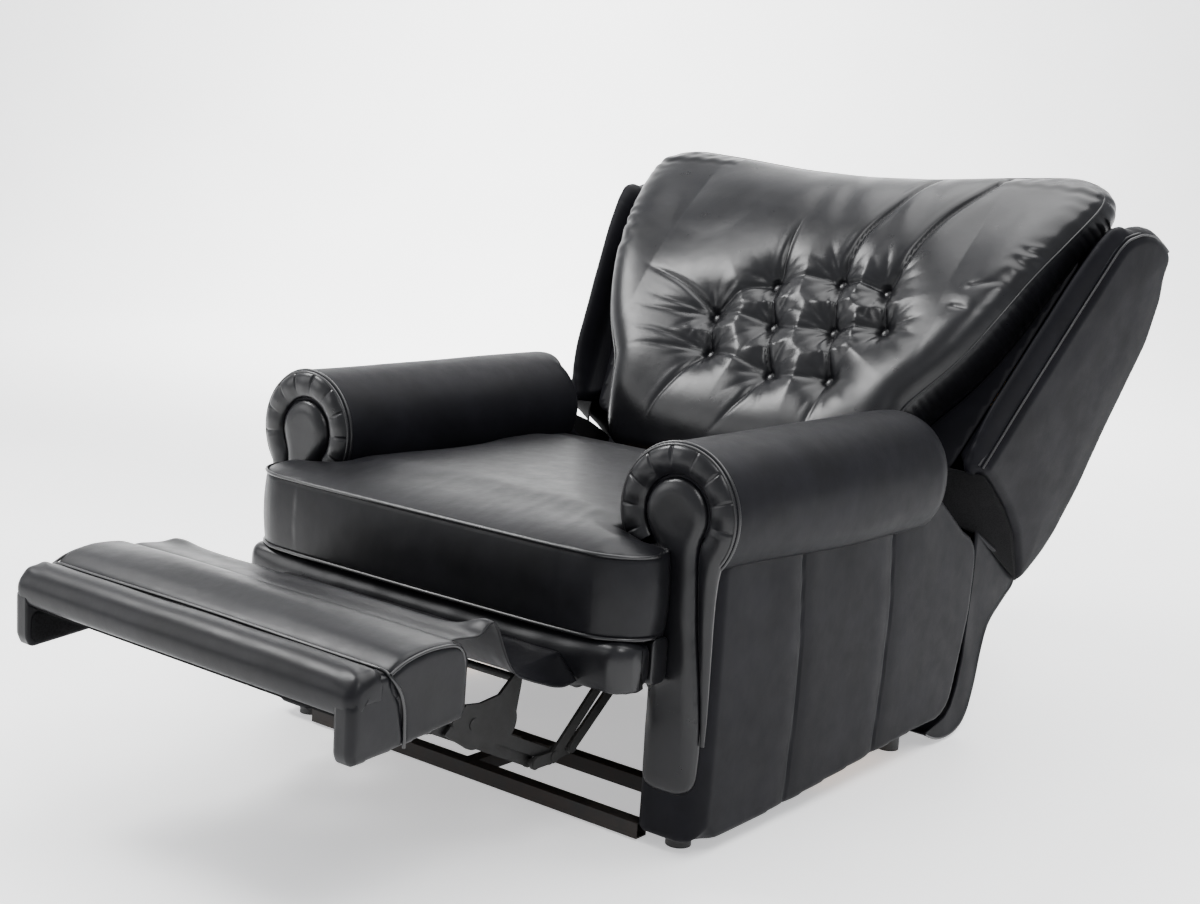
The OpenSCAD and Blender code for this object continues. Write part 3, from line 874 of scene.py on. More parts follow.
class ARMCHAIR_OT_arms(bpy.types.Operator):
    """Arm bodies with seamed outer panels, and the rolls on top"""
    bl_idname = "armchair.arms"
    bl_label = "Arms"

    def execute(self, context):
        s = sizes()
        x_in, x_out, r = mm(s.arm_inner), mm(s.arm_outer), mm(s.roll_radius)
        loop = rounded([(-2, 21), (80, 21), (240, 24), (650, 50)]
                       + arc(742, 114, 62, -90, -8, 10) + [(836, 235), (841, 300)]
                       + arc(785, 340, 56, 0, 82, 8) + [(690, 469), (-2, 469)], 560, 1)

        def outer(y, z, gap):
            big = smooth((60 - y) / 40)
            rad = 10 + 26 * big
            g = np.minimum(gap, rad)
            x = x_out - rad + np.sqrt(rad * rad - (rad - g) ** 2)
            uv = np.stack([y, z], -1)
            for line in SEAMS:
                d = near(uv, line)[0]
                x -= 2.6 * np.exp(-(d / 2.6) ** 2) + 2.2 * np.exp(-(d / 22) ** 2)
            x += 2.5 * np.sin(np.clip((z - 20) / 420, 0, 1) * math.pi) - 2.5
            # slack lines of the stretched hide below the roll
            slack = 0.9 * np.sin(y / 31 + 0.6 * np.sin(z / 60))
            return x + slack * smooth((z - 300) / 120) * smooth(gap / 30)

        def inner(y, z, gap):
            g = np.minimum(gap, 12)
            return x_in + 12 - np.sqrt(144 - (12 - g) ** 2)

        body, _, _ = pad("arm_cover_left", loop, 4.5, outer, inner, side_on, 8)
        both(body, "base", "leather_arm_black", ["arm_body_left"])

        # lining flap that stands up behind each roll and closes the view under the wing; its black
        # cloth is painted shade in that gap
        foot = [(688, 462), (740, 425), (788, 391), (812, 376), (832, 352), (839, 318)]
        head = [(686, 496), (742, 476), (772, 460), (800, 445), (834, 418), (856, 338)]
        flap = ribbon("arm_rear_flap_left", [(366, *q) for q in foot], [(366, *q) for q in head],
                      3.0, 50, 10, 1.5)
        both(flap, "base", "lining_spunbond_and_shade")

        # the roll: a loop open to the arm below it, drawn in at its rear end
        a_out = -math.asin((ROLL_Z - 446) / r)
        a_in = math.pi + math.asin((ROLL_Z - 419) / r)
        turn = np.linspace(a_out, a_in, 88)
        rings = []
        end, bend = 585, 60      # where the rear end starts to close, and its rounding
        ys = np.r_[-3, np.linspace(2, 560, 96),
                   end + bend * np.sin(np.linspace(0.02, 1.52, 34))]
        for y in ys:
            t = max(0.0, (y - end) / bend)
            k = (r - bend + bend * math.sqrt(max(0, 1 - t * t))) / r
            droop = 16 * smooth(y / 420)
            ring = []
            for a in turn:
                c, z = math.cos(a), math.sin(a)
                rr = r * k
                w = smooth((-z + 0.15) / 0.6) if c > 0 else 0
                x = ROLL_X + rr * c
                back = 38 * smooth((x - 345) / 55) * smooth((y - 480) / 165)
                ring.append((x, y + back, ROLL_Z + rr * z - droop * w * k))
            lip = (max(x_out + 0.5, ring[0][0] - 8), y, max(ring[0][2] + 14, 452))
            rings.append([(x_out - 6, y, 470.5), lip] + ring
                         + [(x_in - 0.5, y, 432), (x_in + 4, y, 470.5)])
        roll = loft("arm_roll_cover_left", rings)
        p = places(roll)
        v = outward(roll)
        w = ripple(p * np.array([1, 0.35, 1]), 60, 3.0) * 1.3
        hold = (p[:, 2] > 470) | (np.abs(p[:, 0] - 412) > 60)
        place_at(roll, p + v * (w * hold)[:, None])
        both(roll, "base", "leather_arm_black", ["arm_roll_left"])
        return {"FINISHED"}


class ARMCHAIR_OT_facings(bpy.types.Operator):
    """Scroll fronts: keyhole pad, pleated ring and double welt"""
    bl_idname = "armchair.facings"
    bl_label = "Arm Fronts"

    def execute(self, context):
        s = sizes()
        r, disc, x_in = mm(s.roll_radius), mm(s.disc_radius), mm(s.arm_inner)
        # keyhole pad, from the disc down the column
        a0 = -math.degrees(math.asin(34 / disc))
        loop = arc(ROLL_X, ROLL_Z, disc, a0, 215, 40)
        loop += [(x_in + 8, 452), (x_in + 5, 400), (x_in + 5, 120)]
        loop += arc(x_in + 22, 112, 17, 180, 270, 6) + arc(x_in + 66, 129, 34, -90, 0, 8)
        loop += [(x_in + dx, z) for dx, z in
                 ((102, 170), (101, 215), (94, 280), (85, 350), (80, 420), (77, 455))]
        loop = rounded(loop, 300, 3, True, 2)

        def top(x, z, gap):
            g = np.minimum(gap / 26, 1)
            h = 3 + 13 * np.sqrt(1 - (1 - g) ** 2)
            # the pad flattens out towards the foot of the column
            return -h * soft(z, [90, 150, 260, 400], [0.6, 0.8, 0.95, 1.0])

        def to_room(u, v, w):
            return np.stack([u, w, v], -1)

        key, _, _ = pad("arm_front_pad_left", loop, 2.8, top, lambda x, z, g: 1.5 + 0 * g,
                        to_room, 3)
        p = places(key)
        place_at(key, p + outward(key) * (ripple(p, 40, 1.0) * 0.6 * (p[:, 1] < -4))[:, None])
        both(key, "base", "leather_waxed_black", ["arm_facing_left"])

        # ring: a half round that runs over the disc and thins out down the column, as rows
        # of x, z, half width and height
        rows = [(x, z, 22.5, 15) for x, z in arc(ROLL_X, ROLL_Z, 79.5, 222, -34, 119)]
        rows += [(454, 455, 19.5, 15), (452.5, 430, 16.5, 14), (452.5, 400, 14.5, 12.5),
                 (454, 360, 12.5, 11), (456, 330, 11, 9.5), (459, 290, 8.5, 8),
                 (461.5, 250, 6.5, 6.5), (463, 215, 5, 5), (463.5, 180, 3.5, 3.5)]
        rows = np.array(rows)
        length = np.r_[0, np.cumsum(np.linalg.norm(np.diff(rows[:, :2], axis=0), axis=1))]
        at = np.linspace(0, length[-1], 420)
        rows = np.stack([np.interp(at, length, rows[:, k]) for k in range(4)], -1)
        for _ in range(6):
            rows[1:-1] = (rows[:-2] + rows[1:-1] + rows[2:]) / 3
        first, last = 22, 318    # where along the ring its pleats start and end
        pleat_at = np.linspace(first, last, s.facing_pleats)
        pitch = (last - first) / (s.facing_pleats - 1)
        rings = []
        for k in range(len(rows)):
            q0, half, high = rows[k, :2], rows[k, 2], rows[k, 3]
            t = rows[min(k + 1, len(rows) - 1), :2] - rows[max(k - 1, 0), :2]
            t = t / np.linalg.norm(t)
            side = np.array([-t[1], t[0]])
            dip = sum(math.exp(-((at[k] - c) / 1.5) ** 2) for c in pleat_at)
            swell = 0.6 * math.cos((at[k] - first) / pitch * 2 * math.pi + math.pi)
            swell *= at[k] < last + 12
            ring = []
            m = 26
            for j in range(m + 1):
                b = math.pi * j / m
                # each pleat is a short tuck in the outer half of the ring
                reach = math.exp(-((b - 0.9) / 0.75) ** 2)
                h = high * math.sin(b) ** 0.75 + swell * math.sin(b) - dip * 3.0 * reach
                q = q0 + side * half * math.cos(b)
                ring.append((q[0], 1.0 - max(h, 0), q[1]))
            for j in range(1, 6):
                q = q0 - side * half * (1 - 2 * j / 6)
                ring.append((q[0], 1.6, q[1]))
            rings.append(ring)
        obj = loft("arm_front_ring_left", rings)
        both(obj, "base", "leather_waxed_black", [])

        # double welt round the scroll
        for tag, rad, y in (("outer", r + 0.6, 0.8), ("inner", r - 2.6, -4.6)):
            line = [(x, y, z) for x, z in arc(ROLL_X, ROLL_Z, rad, -43, 246, 119)]
            both(welt("arm_front_welt_%s_left" % tag, line), "base",
                 "leather_welt_black")
        return {"FINISHED"}


def across(name, section, x0, x1, n=110, round_end=10, shape=None):
    """A padded bar across the chair: a side view (y, z) drawn along x with soft ends."""
    c = np.mean(section, 0)
    xs = list(x0 + round_end * (1 - np.sin(np.linspace(math.pi / 2, 0, 6))))
    xs += list(np.linspace(x0 + round_end, x1 - round_end, n)[1:-1])
    xs += list(x1 - round_end * (1 - np.sin(np.linspace(0, math.pi / 2, 6))))
    rings = []
    size = np.ptp(section, axis=0).max() / 2
    for x in xs:
        e = max(0.0, round_end - min(x - x0, x1 - x)) / max(round_end, 1e-6)
        k = 1 - (round_end / size) * (1 - math.sqrt(max(0.0, 1 - e * e)))
        q = c + (section - c) * k
        if shape is not None:
            q = shape(q, x)
        rings.append(np.stack([np.full(len(q), x), q[:, 0], q[:, 1]], -1))
    return loft(name, rings)


class ARMCHAIR_OT_footrest(bpy.types.Operator):
    """Footrest: front roll, crowned pad, end cheeks, lining and welts"""
    bl_idname = "armchair.footrest"
    bl_label = "Footrest"

    def execute(self, context):
        front = rounded([(-542, 335), (-542, 372), (-556, 380)]
                        + arc(-568, 343, 37, 84, 180, 10)
                        + [(-603, 328), (-597, 320), (-592, 322), (-591, 335)], 90, 2)

        def held(p, joint):
            """Sewn along the joint of the two pads, to the board below and at both ends."""
            return np.maximum.reduce([joint * 1.0, (p[:, 2] < 338) * 1.0,
                                      (np.abs(p[:, 0]) > 318) * 1.0])

        def front_shape(q, x):
            q = q.copy()
            up = smooth((q[:, 1] - 345) / 25)
            end = max(0.0, (abs(x) - 300) / 52)
            q[:, 1] += up * (0.5 * math.sin(x / 83) + 0.4 * math.sin(x / 31 + 1) - 3.0 * end ** 2)
            q[:, 1] += up * end * 1.3 * np.sin(q[:, 0] / 4.3 + x / 9)
            return q
        obj = across("footrest_front_cover", front, -351.5, 351.5, 150, 16, front_shape)
        puff(obj, lambda p: held(p, p[:, 1] > -548), 3.0, 5.0, calm=14)
        dress(obj, "footrest", "leather_worn_black",
              ["footrest_front_roll"])

        rear = rounded([(-539, 335), (-409, 335), (-405, 342), (-404, 376)]
                       + arc(-422, 377, 18, 0, 80, 5)
                       + [(-470, 398), (-510, 392), (-539, 374)], 90, 2)

        def rear_shape(q, x):
            q = q.copy()
            up = smooth((q[:, 1] - 350) / 30)
            q[:, 1] += up * (-3.0 * (x / 340) ** 4 + 0.5 * math.sin(x / 97 + 2))
            return q
        obj = across("footrest_pad_cover", rear, -349, 349, 150, 9, rear_shape)
        puff(obj, lambda p: held(p, p[:, 1] < -532), 3.0, 5.0, calm=14)
        dress(obj, "footrest", "leather_worn_black", ["footrest_pad"])

        cheek = rounded([(-603, 274), (-596, 260), (-509, 268), (-398, 280), (-392, 290),
                         (-391, 366), (-400, 382), (-424, 389), (-470, 391), (-508, 384),
                         (-541, 369), (-566, 371), (-582, 366), (-596, 354), (-604, 338)],
                        260, 1)

        def outer(y, z, gap):
            g = np.minimum(gap, 9)
            x = 350.5 - 9 + np.sqrt(81 - (9 - g) ** 2)
            seam = [(-541, 400), (-536, 360), (-516, 330), (-509, 262)]
            d = near(np.stack([y, z], -1), seam)[0]
            x -= 3 * np.exp(-(d / 3.5) ** 2)
            x += 1.2 * np.sin(z / 19 + y / 40) * smooth(gap / 15)
            return x
        left, _, _ = pad("footrest_cheek_left", cheek, 4, outer,
                         lambda y, z, g: 320.4 + 0 * g, side_on, 6)
        both(left, "footrest", "leather_worn_black",
             ["footrest_flap_left"])

        # lining inside the hanging part of each cheek
        lining = rounded([(-596, 268), (-588, 264), (-509, 272), (-402, 284), (-400, 312),
                          (-594, 312)], 90, 1)
        inner, _, _ = pad("footrest_lining_left", lining, 8, lambda y, z, g: 320.2 + 0 * g,
                          lambda y, z, g: 318.8 + 0.5 * np.sin(y / 14) * (g > 3), side_on, 1)
        both(inner, "footrest", "lining_spunbond_and_shade")

        # welt across the footrest that turns down both cheeks, and along the pad's ends
        over = [(350.5, -509, 268), (352, -513, 320), (353, -522, 345), (352, -534, 362),
                (345, -540, 373)]
        line = over + [(x, -540.5, 375.5 + 1.0 * math.cos(x / 90))
                       for x in np.linspace(330, -330, 60)]
        line += [(-x, y, z) for x, y, z in reversed(over)]
        dress(welt("footrest_welt_cross", line, 0.2), "footrest",
              "leather_welt_black")
        end = [(350, -538, 370), (350, -524, 378), (350, -505, 384), (350, -470, 389.5),
               (350, -424, 388), (349.5, -406, 380), (349, -401, 368), (349, -400, 330)]
        both(welt("footrest_welt_end_left", end, passes=4), "footrest",
             "leather_welt_black")
        return {"FINISHED"}


class ARMCHAIR_OT_connector(bpy.types.Operator):
    """Loose leather between the footrest and the apron"""
    bl_idname = "armchair.connector"
    bl_label = "Leather Connector"

    def execute(self, context):
        line = [(-416, 382), (-404, 386), (-384, 384), (-360, 381), (-338, 381), (-322, 378),
                (-309, 367), (-297, 350), (-284, 332), (-268, 316), (-248, 305), (-226, 300),
                (-190, 301), (-155, 304), (-130, 307)]
        line = rounded(line, 90, 2, False, 2)
        xs = np.linspace(-330, 330, 151)
        pts, faces = [], []
        m = len(line)
        for x in xs:
            end = max(0.0, (abs(x) - 290) / 40)
            # a fold stands up near each side, higher on the left
            crest = math.exp(-((x - 318) / 38) ** 2) + 0.25 * math.exp(-((x + 318) / 30) ** 2)
            for k, (y, z) in enumerate(line):
                t = k / (m - 1)
                f = math.sin(math.pi * t) ** 0.8
                low = smooth((t - 0.35) / 0.25)
                z2 = z + f * (0.7 * math.sin(x / 61 + 3 * t) + 0.4 * math.sin(x / 23 + 6 * t))
                z2 += crest * 19 * math.exp(-((y + 324) / 17) ** 2) - end * f * 7 * end * low
                z2 -= 34 * end * smooth((t - 0.62) / 0.34)
                y2 = y + f * (0.8 * math.sin(x / 47 + 1.7) + 2.0 * end * math.sin(x / 5.0) * low)
                pts.append((x - math.copysign(5 * end * low, x), y2, z2))
        for i in range(len(xs) - 1):
            for k in range(m - 1):
                a = i * m + k
                faces.append((a, a + 1, a + m + 1, a + m))
        obj = piece("leather_connector_sheet", pts, faces)
        apply_modifier(obj, "SOLIDIFY", thickness=0.0025, offset=0)
        obj.data.materials.clear()
        obj.data.materials.append(bpy.data.materials["leather_worn_black"])
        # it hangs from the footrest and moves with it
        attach(obj, "footrest")
        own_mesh(obj)
        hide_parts("leg_connector")
        return {"FINISHED"}


# buttons of the back, (x, z) along the back in mm
BUTTONS = [(-149, 362), (-42, 445), (96, 467), (196, 462),
           (-128, 280), (-13, 357), (120, 363), (225, 378),
           (25, 252), (154, 260)]
# deep pleats between buttons and out to the edges, each with its depth
PLEATS = [
    ([(-149, 362), (-137, 320), (-128, 280)], 1.0),
    ([(-42, 445), (-24, 400), (-13, 357), (6, 305), (25, 252)], 1.0),
    ([(96, 467), (113, 418), (120, 363), (140, 312), (154, 260)], 1.0),
    ([(196, 462), (214, 420), (225, 378)], 0.9),
    ([(-149, 362), (-117, 396), (-106, 414), (-84, 428), (-42, 445)], 0.6),
    ([(-149, 362), (-82, 366), (-13, 357)], 0.3),
    ([(-128, 280), (-52, 272), (25, 252)], 0.35),
    ([(-42, 445), (27, 466), (96, 467)], 0.4),
    ([(-42, 445), (-10, 400), (120, 363)], 0.15),
    ([(96, 467), (145, 470), (196, 462)], 0.6),
    ([(120, 363), (170, 375), (225, 378)], 0.4),
    ([(-13, 357), (54, 352), (120, 363)], 0.35),
    ([(25, 252), (90, 250), (154, 260)], 0.35),
    ([(-42, 445), (-30, 465), (-35, 492), (-37, 534), (-37, 567), (-34, 620)], 0.9),
    ([(96, 467), (100, 497), (107, 550), (119, 591), (135, 629), (151, 670), (166, 725),
      (176, 775)], 1.0),
    ([(196, 462), (216, 490), (225, 541), (237, 587), (250, 627), (269, 670), (295, 725),
      (318, 790)], 1.0),
    ([(-149, 362), (-186, 389), (-240, 415), (-302, 432), (-360, 446)], 0.8),
    ([(-128, 280), (-145, 240), (-170, 190), (-192, 142), (-198, 80)], 0.6),
    ([(25, 252), (10, 200), (-30, 130), (-60, 90)], 0.45),
    ([(154, 260), (158, 200), (150, 120)], 0.4),
    ([(-149, 362), (-200, 365), (-265, 372), (-318, 380)], 0.30),
    ([(-149, 362), (-205, 348), (-280, 345), (-330, 350)], 0.3),
    ([(-128, 280), (-190, 292), (-262, 298), (-320, 290)], 0.35),
    ([(-128, 280), (-195, 270), (-262, 262), (-305, 246)], 0.4),
    ([(359, 430), (401, 425)], 0.35),
    ([(376, 477), (439, 500)], 0.3),
]
# depth of the cushion's face at its welt by height, at the sides and in the middle
FACE_Z = [62, 150, 230, 343, 459, 539, 605, 700, 751, 790]
FACE_SIDE = [-112, -142, -151, -147, -145, -131, -115, -84, -63, -56]
FACE_MID = FACE_SIDE[:-2] + [-60, -48]


def back_depth(x, z):
    """Rear shift of the back cushion's front face at its welt, by height."""
    side, mid = soft(z, FACE_Z, FACE_SIDE), soft(z, FACE_Z, FACE_MID)
    return side + (mid - side) * (1 - smooth(np.abs(x) / 420))


class ARMCHAIR_OT_back(bpy.types.Operator):
    """Buttoned back cushion with pleats, welt and buttons, and the leather behind it"""
    bl_idname = "armchair.back"
    bl_label = "Back Cushion"

    def execute(self, context):
        s = sizes()
        half = [(0, 62), (262, 62), (286, 74), (300, 105), (312, 160), (328, 230), (379, 306),
                (400, 343), (422, 393), (446, 459), (469, 539), (489, 605), (507, 680),
                (516, 735), (508, 766), (486, 784), (455, 794), (425, 795), (300, 785),
                (150, 769), (0, 763)]
        loop = half + [(-x, z) for x, z in reversed(half[1:-1])]
        loop = rounded(loop, 700, 2, True, 2)
        rng = np.random.default_rng(7)
        # star wrinkles of each button: how many, how they are turned and how strong
        stars = [(bx, bz, int(rng.integers(8, 12)), rng.uniform(0, 6), rng.uniform(0.7, 1.25))
                 for bx, bz in BUTTONS]

        def front(x, z, gap):
            y = back_depth(x, z)
            rise = soft(z, [62, 150, 240, 350, 470, 600, 700, 763],
                        [10, 6, 12, 18, 24, 34, 34, 20])
            wide = 1 - (np.clip(np.abs(x) / 330, 0, 1)) ** 4
            y = y - rise * (1 - np.exp(-(gap / 80) ** 1.3)) * (0.45 + 0.55 * wide)
            bolster = soft(z, [62, 150, 260, 400, 600, 740], [10, 18, 26, 28, 26, 18])
            y = y - bolster * (gap / 46) * np.exp(1 - gap / 46)
            y = y - 6 * np.sqrt(np.clip(gap / 12, 0, 1))
            uv = np.stack([x, z], -1)
            dip = np.zeros(len(x))
            streak = np.zeros(len(x))
            for bx, bz, n, turn, big in stars:
                d = np.hypot(x - bx, z - bz)
                tuft = 0.45 * np.exp(-d / 12) + 0.55 * np.exp(-(d / 46) ** 1.5)
                dip = np.maximum(dip, mm(s.tuft_depth) * tuft)
                a = np.arctan2(z - bz, x - bx)
                ray = np.abs(np.sin(0.5 * n * a + turn)) ** 0.6
                some = 0.55 + 0.45 * np.sin(2 * a + 3 * turn)
                streak += big * some * 3.6 * (0.62 - ray) * np.exp(-((d - 24) / 17) ** 2)
                ray = np.abs(np.sin(0.5 * (n + 3) * a + 2 * turn)) ** 0.6
                streak += big * (1.2 - some) * 2.6 * (0.62 - ray) * np.exp(-((d - 50) / 24) ** 2)
            groove = np.zeros(len(x))
            for line, deep in PLEATS:
                line = rounded(line, 30, 2, False, 2)
                d, spot = near(uv, line)
                reach = np.linalg.norm(line[-1] - line[0])
                along = np.linalg.norm(spot - line[0], axis=1) / max(reach, 1)
                tied = any(abs(line[-1][0] - bx) + abs(line[-1][1] - bz) < 1 for bx, bz in BUTTONS)
                edge_bound = line[-1][1] > 750
                fade = 1.0 if tied or edge_bound else 1 - smooth((along - 0.25) / 0.75)
                wide_part = 4.5 if reach > 150 else 8.0
                g = 7.5 * np.exp(-(d / 3.4) ** 2) + wide_part * np.exp(-(d / 18) ** 2)
                groove = np.maximum(groove, deep * fade * g)
                # the hide stands up a little beside each pleat
                streak -= deep * fade * 1.4 * np.exp(-((d - 12) / 6) ** 2)
            inner = smooth(gap / 14)
            y = y + dip + (groove + streak) * inner
            # folds that run up to the top edge, and puckers along the side welts
            up = smooth((z - 500) / 140) * inner
            near_side = np.sin(x / 13.5 + z / 60 + 0.8 * np.sin(x / 31))
            y += up * (1.3 * near_side * np.exp(-((x - 130) / 130) ** 2)
                       + 0.8 * np.sin(x / 23 - z / 60) * np.exp(-((x + 60) / 110) ** 2))
            pucker = smooth((58 - gap) / 45) * smooth(gap / 7) * (np.abs(x) > 300)
            wave = np.sin(z / 5.6 + 1.7 * np.sin(z / 23) + 0.5 * np.sin(x / 7))
            some = 0.25 + 0.75 * smooth((np.sin(z / 41 + 1.1) + 0.15) / 0.8)
            y += pucker * some * 2.3 * wave * smooth((z - 380) / 120)
            return y

        def rear(x, z, gap):
            return np.interp(z, [62, 300, 640, 668, 763, 800], [-51, -50, -41, -14, -1, -1])

        def edge(x, z):
            return np.where(z > 700, 10.0, 9.0) * np.where(z < 120, 0.4, 1.0)

        def gather(x, z, t, k):
            w = np.sin(k * 0.93 + 1.3 * np.sin(k * 0.11))
            w = w * (0.35 + 0.65 * np.abs(np.sin(k * 0.037)))
            w = 0.7 * w * math.sin(math.pi * t) ** 0.7
            return w * (z > 180) * (0.5 + 0.5 * (np.abs(x) > 300))

        obj, rim, _ = pad("back_cushion_cover", loop, 3.7, front, rear, on_back, 9, edge,
                          gather, (0, 430), 55)

        def held(p):
            y, z = in_back(p)
            uv = np.stack([p[:, 0], z], -1)
            w = np.exp(-(near(uv, loop, True)[0] / 5) ** 2)
            for bx, bz in BUTTONS:
                w = np.maximum(w, np.exp(-(np.hypot(p[:, 0] - bx, z - bz) / 7) ** 2) * 1.3)
            for line, deep in PLEATS:
                w = np.maximum(w, 0.8 * deep * np.exp(-(near(uv, line)[0] / 4) ** 2))
            return np.maximum(w, (y > -60) * 1.0)
        puff(obj, held, 3.5, 8.0, calm=14)
        dress(obj, "back", "leather_waxed_black", ["back_cushion"])
        dress(welt("back_cushion_welt", rim, 0.1, True, 3), "back",
              "leather_welt_black")

        # one covered button, turned from a ball and copied to each place
        deselect()
        bpy.ops.mesh.primitive_uv_sphere_add(segments=24, ring_count=14, radius=s.button_radius,
                                             location=(0, 0, 0))
        first = bpy.context.object
        bpy.ops.object.mode_set(mode="EDIT")
        bpy.ops.mesh.select_all(action="SELECT")
        bpy.ops.transform.resize(value=(1, 1, 0.42))
        bpy.ops.object.mode_set(mode="OBJECT")
        whole = places(obj)
        y, z = in_back(whole)
        turn = Matrix.Rotation(math.pi / 2 - LEAN, 4, "X")
        for k, (bx, bz) in enumerate(BUTTONS):
            hit = (np.hypot(whole[:, 0] - bx, z - bz) < 8) & (y < -55)
            at = in_frame(from_back(bx, y[hit].mean() - 1.5, bz))
            b = first.copy()
            b.data = first.data.copy()
            b.name = b.data.name = "back_button_%02d" % (k + 1)
            bpy.context.scene.collection.objects.link(b)
            b.data.transform(Matrix.Translation(Vector(at)) @ turn)
            b.data.shade_smooth()
            dress(b, "back", "leather_waxed_black",
                  ["back_buttons"] if k == 0 else [])
        bpy.data.objects.remove(first)

        # leather stretched behind the cushion, from wing to wing and down to the hinge
        half = [(0, 40), (330, 40), (338, 60), (341, 112), (341, 152)] \
            + [(between(z) - 3, z) for z in (160, 300, 450, 560, 632)] \
            + [(0, 632)]
        loop = rounded(half + [(-x, z) for x, z in reversed(half[1:-1])], 300, 1)
        liner, _, _ = pad("back_inner_panel", loop, 9, lambda x, z, g: -49.6 + 0 * g,
                          lambda x, z, g: -46.4 + 0 * g, on_back, 1, None, None, (0, 350))
        dress(liner, "back", "leather_arm_black")
        # black lining between the cushion and each wing, down to the skirt, as painted shade in
        # that gap
        side = rounded([(-46, 62), (-46, 380), (150, 380), (196, 300), (240, 200), (262, 120),
                        (262, 92), (200, 92), (30, 50)], 150, 1)
        flank, _, _ = pad("back_side_panel_left", side, 8, lambda y, z, g: 346 - 3 * np.exp(-g / 8),
                          lambda y, z, g: 341.3 + 0 * g, lambda u, v, w: from_back(w, u, v), 2)
        both(flank, "back", "lining_spunbond_and_shade")
        return {"FINISHED"}


WING = [(-64, 168), (-65, 300), (-64, 500), (-62, 655), (-50, 680), (-20, 712), (18, 733),
        (60, 743), (92, 747), (110, 738), (120, 712), (158, 679), (199, 605), (224, 500),
        (241, 424), (267, 332), (287, 225), (284, 160), (273, 112), (259, 88), (217, 116),
        (147, 148), (68, 163), (-8, 167)]


class ARMCHAIR_OT_wings(bpy.types.Operator):
    """Flared wings with a padded front roll and double welt"""
    bl_idname = "armchair.wings"
    bl_label = "Wings"

    def execute(self, context):
        k = 1 / math.cos(FLARE)
        loop = rounded([(y, z * k) for y, z in WING], 460, 3, True, 2)

        def outer(y, z, gap):
            return -10 + 9 * np.sin(np.minimum(gap, 14) / 14 * math.pi / 2) + 3 * smooth(gap / 90)

        def inner(y, z, gap):
            x = -50 - 22 * np.sin(np.minimum(gap, 30) / 30 * math.pi / 2)
            return x - 7 * np.exp(-((y + 40) / 45) ** 2) * smooth(gap / 30)

        def edge(y, z):
            front = soft(z, [150, 185, 250, 560, 650, 700, 740, 780],
                         [2, 22, 44, 44, 36, 22, 8, 3])
            head = 6 * smooth((z - 690) / 40) * smooth((110 - y) / 40)
            return 3 + front * smooth((-30 - y) / 30) + head

        def gather(y, z, t, n):
            low = smooth((250 - z) / 80) * (y < -50)
            rough = 0.4 + 0.6 * np.abs(np.sin(n * 0.083))
            deep = 2.6 * low * rough + 0.5 * smooth((z - 600) / 60) * (y < 0)
            return deep * np.sin(n * 1.1) * math.sin(math.pi * t)

        wing, _, _ = pad("wing_cover_left", loop, 5, outer, inner,
                         lambda u, v, w: from_wing(w, u, v), 16, edge, gather)
        p = places(wing)
        place_at(wing, p + outward(wing) * (ripple(p, 70, 5.0) * 0.9)[:, None])
        both(wing, "back", "leather_arm_black", ["wing_left"])

        front = [(-63, 172), (-66, 300), (-66, 500), (-64, 640), (-55, 672), (-22, 708),
                 (18, 730), (60, 741), (92, 745)]
        for tag, dx, dy in (("outer", -8.5, -2.0), ("inner", -14.5, -8.0)):
            line = [from_wing(dx, y + dy * (1 if z < 690 else 0.4), z * k) for y, z in front]
            both(welt("wing_welt_%s_left" % tag, line, passes=3), "back",
                 "leather_welt_black")
        return {"FINISHED"}


class ARMCHAIR_OT_rear(bpy.types.Operator):
    """Outside back and the skirt that hangs from it"""
    bl_idname = "armchair.rear"
    bl_label = "Outside Back"

    def execute(self, context):
        out = [(2, 738), (40, 744), (84, 746), (106, 738), (118, 712), (158, 679), (199, 605),
               (224, 500), (241, 424), (267, 332), (286, 228), (284, 170), (273, 112), (259, 85)]
        inn = [(240, 99), (252, 118), (262, 180), (262, 225), (243, 328), (217, 420), (200, 496),
               (176, 596), (136, 664), (100, 690), (78, 723), (10, 723)]
        y, z = rounded(out + inn, 240, 1).T
        half = between(z) - 1.0
        rings = [from_back(u * half, y, z) for u in np.linspace(-1, 1, 90)]
        obj = loft("outside_back_cover", rings, True)
        dress(obj, "back", "leather_arm_black", ["outside_back"])
        return {"FINISHED"}


